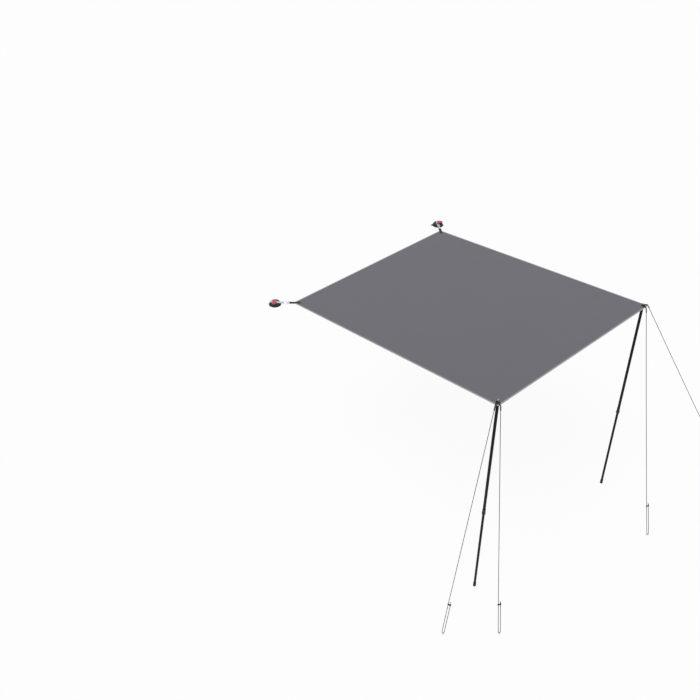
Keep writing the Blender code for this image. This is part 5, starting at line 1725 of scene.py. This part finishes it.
@dataclass
class Guy(Fitting):
    """Guy rope from a spigot to a peg, with its knots, runner and peg."""

    pivot: Vector
    up: Vector
    side: str
    layer: int
    offset: Pair
    radius: float = 0.0025
    turn_radius: float = 0.0100
    eye_drop: float = 0.0200
    knot_length: float = 0.014
    knot: Pair = (2.6, 0.0052)  # turns, and the climb in a turn
    stopper_length: float = 0.010
    stopper: Pair = (1.9, 0.0050)  # turns, and the climb in a turn
    wrap_steps: int = 14
    wrap_reach: float = 1.35
    wrap_start: float = 0.45
    wrap_closing: float = 6
    wrap_thickness: float = 0.95
    tail: float = 0.018
    tail_droop: float = 0.003
    runner_distance: float = 0.300
    runner_thickness: float = 0.007
    runner_end: float = 0.0065
    runner_waist: float = 0.82
    runner_edge: float = 0.0006
    peg_radius: float = 0.0030
    peg_length: float = 0.200
    peg_arch: float = 0.0090
    peg_height: float = 0.022
    peg_tip: float = 0.014
    peg_point: float = 0.016
    peg_taper: float = 0.008
    peg_lean: float = math.radians(10)
    peg_shank: Row = (0.6, 0.2)
    peg_round: Row = (0.003, 0.001, 0)
    peg_ends: tuple = ((0.12, 0.6), (0.85, 0.4))  # scales at its point, and at its tip
    sag: float = 0.006
    sag_steps: int = 40
    strand_end: float = 1.2
    runner_lead: float = 1.1
    stations: Row = (0.2, 0.5, 0.8)
    spacing: Pair = (0.003, 0.012)  # round the eye, and along the strand
    leg_pinch: float = 0.9
    # Half of an eye: outwards, sideways, and the height of each layer.
    eye_route: tuple = (
        (-0.0084, 0.0, 0.0046, 0.0099),
        (-0.0062, 0.0062, 0.0046, 0.0099),
        (-0.0010, 0.0097, 0.0046, 0.0099),
        (0.0050, 0.0105, 0.0046, 0.0099),
        (0.0120, 0.0092, 0.0046, 0.0099),
        (0.0200, 0.0062, 0.0046, 0.0099),
        (0.0280, 0.0038, 0.0046, 0.0086),
        (0.0415, 0.0029, 0.0046, 0.0049),
        (0.0489, 0.0029, 0.0015, 0.0016),
        (0.0520, 0.0029, -0.0059, -0.0059),
    )

    def __post_init__(self) -> None:
        """Works out the rope's directions and places."""
        outwards = Vector((*self.offset, 0)).normalized()
        self.sheet_out = (outwards - self.up * outwards.dot(self.up)).normalized()
        self.sheet_across = self.up.cross(self.sheet_out)
        ground = Vector((self.pivot.x + self.offset[0], self.pivot.y + self.offset[1], GROUND))
        self.arch = ground + UP * self.peg_height
        self.bend = self.at_top(self.eye_route[-1][0], 0, self.eye_route[-1][2])
        self.along = (self.bend - self.arch).normalized()
        self.across = self.along.cross(UP).normalized()
        self.knot_place = self.bend - self.along * self.eye_drop
        seat = self.peg_arch - self.peg_radius - GAP - self.radius
        self.turn = self.arch + self.along * (seat + self.turn_radius)

    def at_top(self, outwards: float, sideways: float, height: float) -> Vector:
        """Gives a point near the spigot."""
        point = self.pivot + self.sheet_out * outwards + self.sheet_across * sideways
        return point + self.up * height

    def at_peg(self, along: float, sideways: float) -> Vector:
        """Gives a point of the turned-back end, from the middle of the turn."""
        return self.turn + self.along * along + self.across * sideways

    def eye(self) -> list[Vector]:
        """Follows the eye from the knot, round the spigot and back to the knot.

        Returns:
            The points that the smooth route passes through.
        """
        halves = []
        for side in (1, -1):
            half = [
                self.at_top(outwards, side * sideways, heights[self.layer])
                for outwards, sideways, *heights in self.eye_route
            ]
            leg = self.across * side * self.eye_route[-1][1]
            half.append(self.knot_place + self.along * self.eye_drop / 2 + leg)
            half.append(self.knot_place - self.along * self.knot_length / 3 + leg * self.leg_pinch)
            halves.append(half)
        return halves[0][::-1] + halves[1][1:]

    def route(self) -> list[Vector]:
        """Follows the whole rope: eye, knot, strand, peg, runner, stopper and tail.

        Returns:
            The centreline.
        """
        side, reach = self.turn_radius, self.runner_distance
        start = self.knot_place - self.along * (self.knot_length + self.radius / 2)
        end = self.at_peg(reach * self.strand_end, -side)
        shares = [step / self.sag_steps for step in range(self.sag_steps + 1)]
        strand = [start.lerp(end, t) - UP * 4 * self.sag * t * (1 - t) for t in shares]
        down = (self.runner_lead, *self.stations[::-1])
        low = [self.at_peg(reach * share, -side) for share in down]
        low += [self.at_peg(y, x) for x, y in arc((0, 0), side, 180, 360, steps=16)]
        low += [self.at_peg(reach * share, side) for share in self.stations]
        base = reach + self.runner_thickness / 2 + 2 * GAP
        stopped = base + self.stopper_length
        low += [self.at_peg(along, side) for along in (base, stopped, stopped + self.tail)]
        low[-1] -= self.across * self.tail_droop
        fine, coarse = self.spacing
        return smooth_route(self.eye(), fine) + smooth_route(strand + low, coarse)

    def wrap(self, label: str, start: Vector, turns: float, pitch: float) -> Object:
        """Adds a knot as turns of rope round the strand, drawn in at both ends.

        Args:
            label: The knot's name.
            start: Where its turns start.
            turns: How many turns it has.
            pitch: How far it climbs in a turn.

        Returns:
            The knot.
        """
        side = self.along.orthogonal().normalized()
        across = self.along.cross(side)
        steps = round(turns * self.wrap_steps)
        winding = []
        for step in range(steps + 1):
            share = step / steps
            drawn = min(1.0, self.wrap_closing * share, self.wrap_closing * (1 - share))
            reach = self.radius * self.wrap_reach
            reach *= self.wrap_start + (1 - self.wrap_start) * drawn
            angle = math.tau * turns * share
            spoke = side * math.cos(angle) + across * math.sin(angle)
            winding.append(start + self.along * pitch * turns * share + spoke * reach)
        section = circle(self.radius * self.wrap_thickness, self.wrap_steps)
        mesh, _ = round_wire(winding, section, self.radius, self.along.orthogonal())
        return self.shop.place(f"{self.end.value}_{self.side}_guy_{label}", mesh, ROPE, WORLD)

    def rope(self, runner: Object) -> None:
        """Args:
            runner: The runner on it. Not used.
        """
        section = circle(self.radius, sides=16)
        mesh, line = round_wire(self.route(), section, self.radius, self.across)
        rope = self.add(f"{self.side}_guy_rope", "braid", mesh, ROPE)
        start = self.knot_place - self.along * self.knot_length
        knot = self.wrap("knot", start, *self.knot)
        base = self.runner_distance + self.runner_thickness / 2 + GAP
        stopper = self.wrap("stopper", self.at_peg(base, self.turn_radius), *self.stopper)

    def runner(self) -> Object:
        """Adds the tension runner that both strands pass through.

        Returns:
            The runner.
        """
        reach, half, end = self.turn_radius, self.runner_thickness / 2, self.runner_end
        waist = end * self.runner_waist
        outline = arc((reach, 0), end, -80, 80, steps=18) + [(0, waist)]
        outline += arc((-reach, 0), end, 100, 260, steps=18) + [(0, -waist)]
        holes = [
            rod(self.radius + GAP, (side, 0, -half * 2), (side, 0, half * 2), sides=36)
            for side in (-reach, reach)
        ]
        mesh = combine(prism(outline, -half, half), "DIFFERENCE", holes)
        axes = (self.across, self.along.cross(self.across), self.along)
        shift = Matrix(axes).transposed().to_4x4()
        shift.translation = self.at_peg(self.runner_distance, 0)
        part = f"{self.side}_guy_runner"
        return self.add(part, "moulding", mesh, BLACK, shift=shift, edge=self.runner_edge)

    def peg(self) -> None:
        """Adds the steel peg with its ground point and rounded hook."""
        bend, tip, point = self.peg_arch, self.peg_tip, self.peg_length - self.peg_point
        depths = [self.peg_length, point + self.peg_taper, point]
        depths += [point * share for share in self.peg_shank]
        route = [(-bend, 0, -depth) for depth in depths]
        route += [(x, 0, z) for x, z in arc((0, 0), bend, 180, 0, steps=24)]
        route += [(bend, 0, rise - tip) for rise in self.peg_round]
        point_scales, tip_scales = self.peg_ends
        plain = len(route) - len(point_scales) - len(tip_scales)
        scales = [*point_scales, *[1.0] * plain, *tip_scales]
        mesh = sweep(route, circle(self.peg_radius, sides=24), (0, 1, 0), scales)
        axes = (self.across.cross(UP), self.across, UP)
        turn = Matrix(axes).transposed() @ Matrix.Rotation(self.peg_lean, 3, "Y")
        shift = Matrix.Translation(self.arch) @ turn.to_4x4()
        self.add(f"{self.side}_guy_peg", "steel", mesh, STEEL, shift=shift)

    def build(self) -> None:
        """Adds one guy."""
        self.rope(self.runner())
        self.peg()


@dataclass(frozen=True)
class Layout:
    """Where the awning's parts stand in the row frame."""

    sheet: Matrix
    cup: dict[End, Matrix]
    chain: dict[End, Matrix]
    pole: dict[End, Vector]

    @classmethod
    def read(cls, frame: dict) -> Layout:
        """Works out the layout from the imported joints.

        Args:
            frame: The loaded frame.

        Returns:
            The layout.
        """
        joints = {joint["name"]: joint for joint in frame["joints"]}
        across = -Vector(joints["front_gate_hinge"]["axis"])
        slope = math.atan(-across.z / across.y)
        tilt = Matrix.Rotation(-slope, 4, "X")
        gate_place = Vector((Chain.gate_pivot, 0, Chain.hook_bend))
        cup, chain, pole = {}, {}, {}
        for end in End:
            gate = joints[f"{end.value}_gate_hinge"]
            across = -Vector(gate["axis"])
            turn = math.atan2(-across.x, across.y / math.cos(slope))
            rotation = tilt @ Matrix.Rotation(turn, 4, "Z")
            start = Vector(gate["pos_m"]) - rotation @ gate_place
            chain[end] = Matrix.Translation(start) @ rotation
            pull = rotation @ Vector((1, 0, 0))
            centre = Vector(joints[f"{end.value}_lever_hinge"]["pos_m"]) - UP * Cup.pivot
            heading = Matrix.Rotation(math.atan2(pull.y, pull.x), 4, "Z")
            cup[end] = Matrix.Translation(centre) @ heading
            pole[end] = Vector(joints[f"{end.value}_pole_lean"]["pos_m"])
        inset = AwningSheet.eyelet_inset
        corner = pole[End.FRONT] - tilt @ Vector((inset, inset - AwningSheet.reach, 0))
        return cls(Matrix.Translation(corner) @ tilt, cup, chain, pole)


@dataclass
class Studio:
    """Camera, floor, backdrop light and sun."""

    place: tuple[float, float, float] = (-4.294, -5.813, 4.981)
    pitch: float = math.radians(37.55)
    heading: float = math.radians(47.93)
    lens: float = 47.57
    sensor: float = 36.0
    view_end: float = 200.0
    floor_half: float = 60.0
    floor_middle: Pair = (1.0, -1.5)
    floor_colour: tuple = (0.94, 0.94, 0.94, 1.0)
    floor_roughness: float = 0.9
    floor_glow: float = 0.93
    ambient: float = 0.44
    sun: float = 1.23
    sun_spread: float = math.radians(35)
    sun_tilt: float = math.radians(28)
    sun_heading: float = math.radians(-75)

    def camera(self) -> None:
        """Puts the camera at the photograph's angle."""
        data = bpy.data.cameras.new("view")
        data.lens, data.sensor_width, data.clip_end = self.lens, self.sensor, self.view_end
        camera = linked("view", data)
        camera.location = self.place
        camera.rotation_euler = (math.pi / 2 - self.pitch, 0, self.heading - math.pi / 2)
        bpy.context.scene.camera = camera

    def seen_directly(self, sketch: Sketch) -> NodeSocket:
        """Gives 1 for rays from the camera, from a mirror or through glass.

        Args:
            sketch: The tree that reads it.

        Returns:
            The result's socket.
        """
        rays = sketch.add("LightPath", {}).outputs
        direct = sketch.math("ADD", rays["Is Camera Ray"], rays["Is Glossy Ray"])
        return sketch.math("ADD", direct, rays["Is Transmission Ray"], clamp=True)

    def floor(self) -> None:
        """Lays the pale floor, which keeps a soft shadow."""
        half = self.floor_half
        mesh = bpy.data.meshes.new("floor")
        corners = [(-half, -half, 0), (half, -half, 0), (half, half, 0), (-half, half, 0)]
        mesh.from_pydata(corners, [], [(0, 1, 2, 3)])
        floor = linked("floor", mesh)
        floor.location = (*self.floor_middle, GROUND)
        made = bpy.data.materials.new("pale_floor")
        made.use_nodes = True
        tree = made.node_tree
        sketch = Sketch(tree)
        shader = tree.nodes["Principled BSDF"]
        shader.inputs["Base Color"].default_value = self.floor_colour
        shader.inputs["Roughness"].default_value = self.floor_roughness
        shader.inputs["Specular IOR Level"].default_value = 0.0
        glow = sketch.add("Emission", {"Color": (1, 1, 1, 1), "Strength": 1.0})
        share = sketch.math("MULTIPLY", self.seen_directly(sketch), self.floor_glow)
        shaders = {0: share, 1: shader.outputs[0], 2: glow.outputs[0]}
        mixed = sketch.add("MixShader", shaders).outputs[0]
        sketch.put(mixed, tree.nodes["Material Output"].inputs["Surface"])
        mesh.materials.append(made)

    def light(self) -> None:
        """Sets the even backdrop light and a soft sun from beyond the sheet."""
        world = bpy.data.worlds.new("studio")
        world.use_nodes = True
        bpy.context.scene.world = world
        sketch = Sketch(world.node_tree)
        background = world.node_tree.nodes["Background"].inputs
        background["Color"].default_value = (1, 1, 1, 1)
        direct = self.seen_directly(sketch)
        strength = sketch.math("MULTIPLY_ADD", direct, 1 - self.ambient, self.ambient)
        sketch.put(strength, background["Strength"])
        data = bpy.data.lights.new("sun", "SUN")
        data.energy, data.angle = self.sun, self.sun_spread
        linked("sun", data).rotation_euler = (self.sun_tilt, 0, self.sun_heading)

    def build(self) -> None:
        """Sets up the whole studio."""
        self.camera()
        self.floor()
        self.light()
        bpy.context.scene.view_settings.view_transform = "Standard"
        LOG.info("studio is set")


# Each guy: its end, its side, its eye's layer, and its peg's place from the pole's top.
GUYS = (
    (End.FRONT, "outer", 0, (-0.235, -0.495)),
    (End.FRONT, "side", 1, (-0.600, -0.170)),
    (End.REAR, "outer", 0, (-0.260, -0.720)),
    (End.REAR, "side", 1, (1.200, -0.620)),
)


def main() -> None:
    """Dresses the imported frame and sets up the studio."""
    logging.basicConfig(level=logging.INFO, format="%(name)s: %(message)s")
    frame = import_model()
    layout = Layout.read(frame)
    shop = Workshop()
    Studio().build()
    up = (layout.sheet.to_3x3() @ UP).normalized()
    for end, side, layer, offset in GUYS:
        Guy(shop, end, WORLD, layout.pole[end], up, side, layer, offset).build()
    AwningSheet(shop, layout.sheet).build()
    for end in End:
        Chain(shop, end, layout.chain[end]).build()
        Cup(shop, end, layout.cup[end]).build()
        Pole(shop, end, Matrix.Translation(layout.pole[end])).build()
        shop.dress(frame["nodes"][f"{end.value}_pole_guide_bush"], NYLON)
    bpy.context.view_layer.update()


if __name__ == "__main__":
    main()
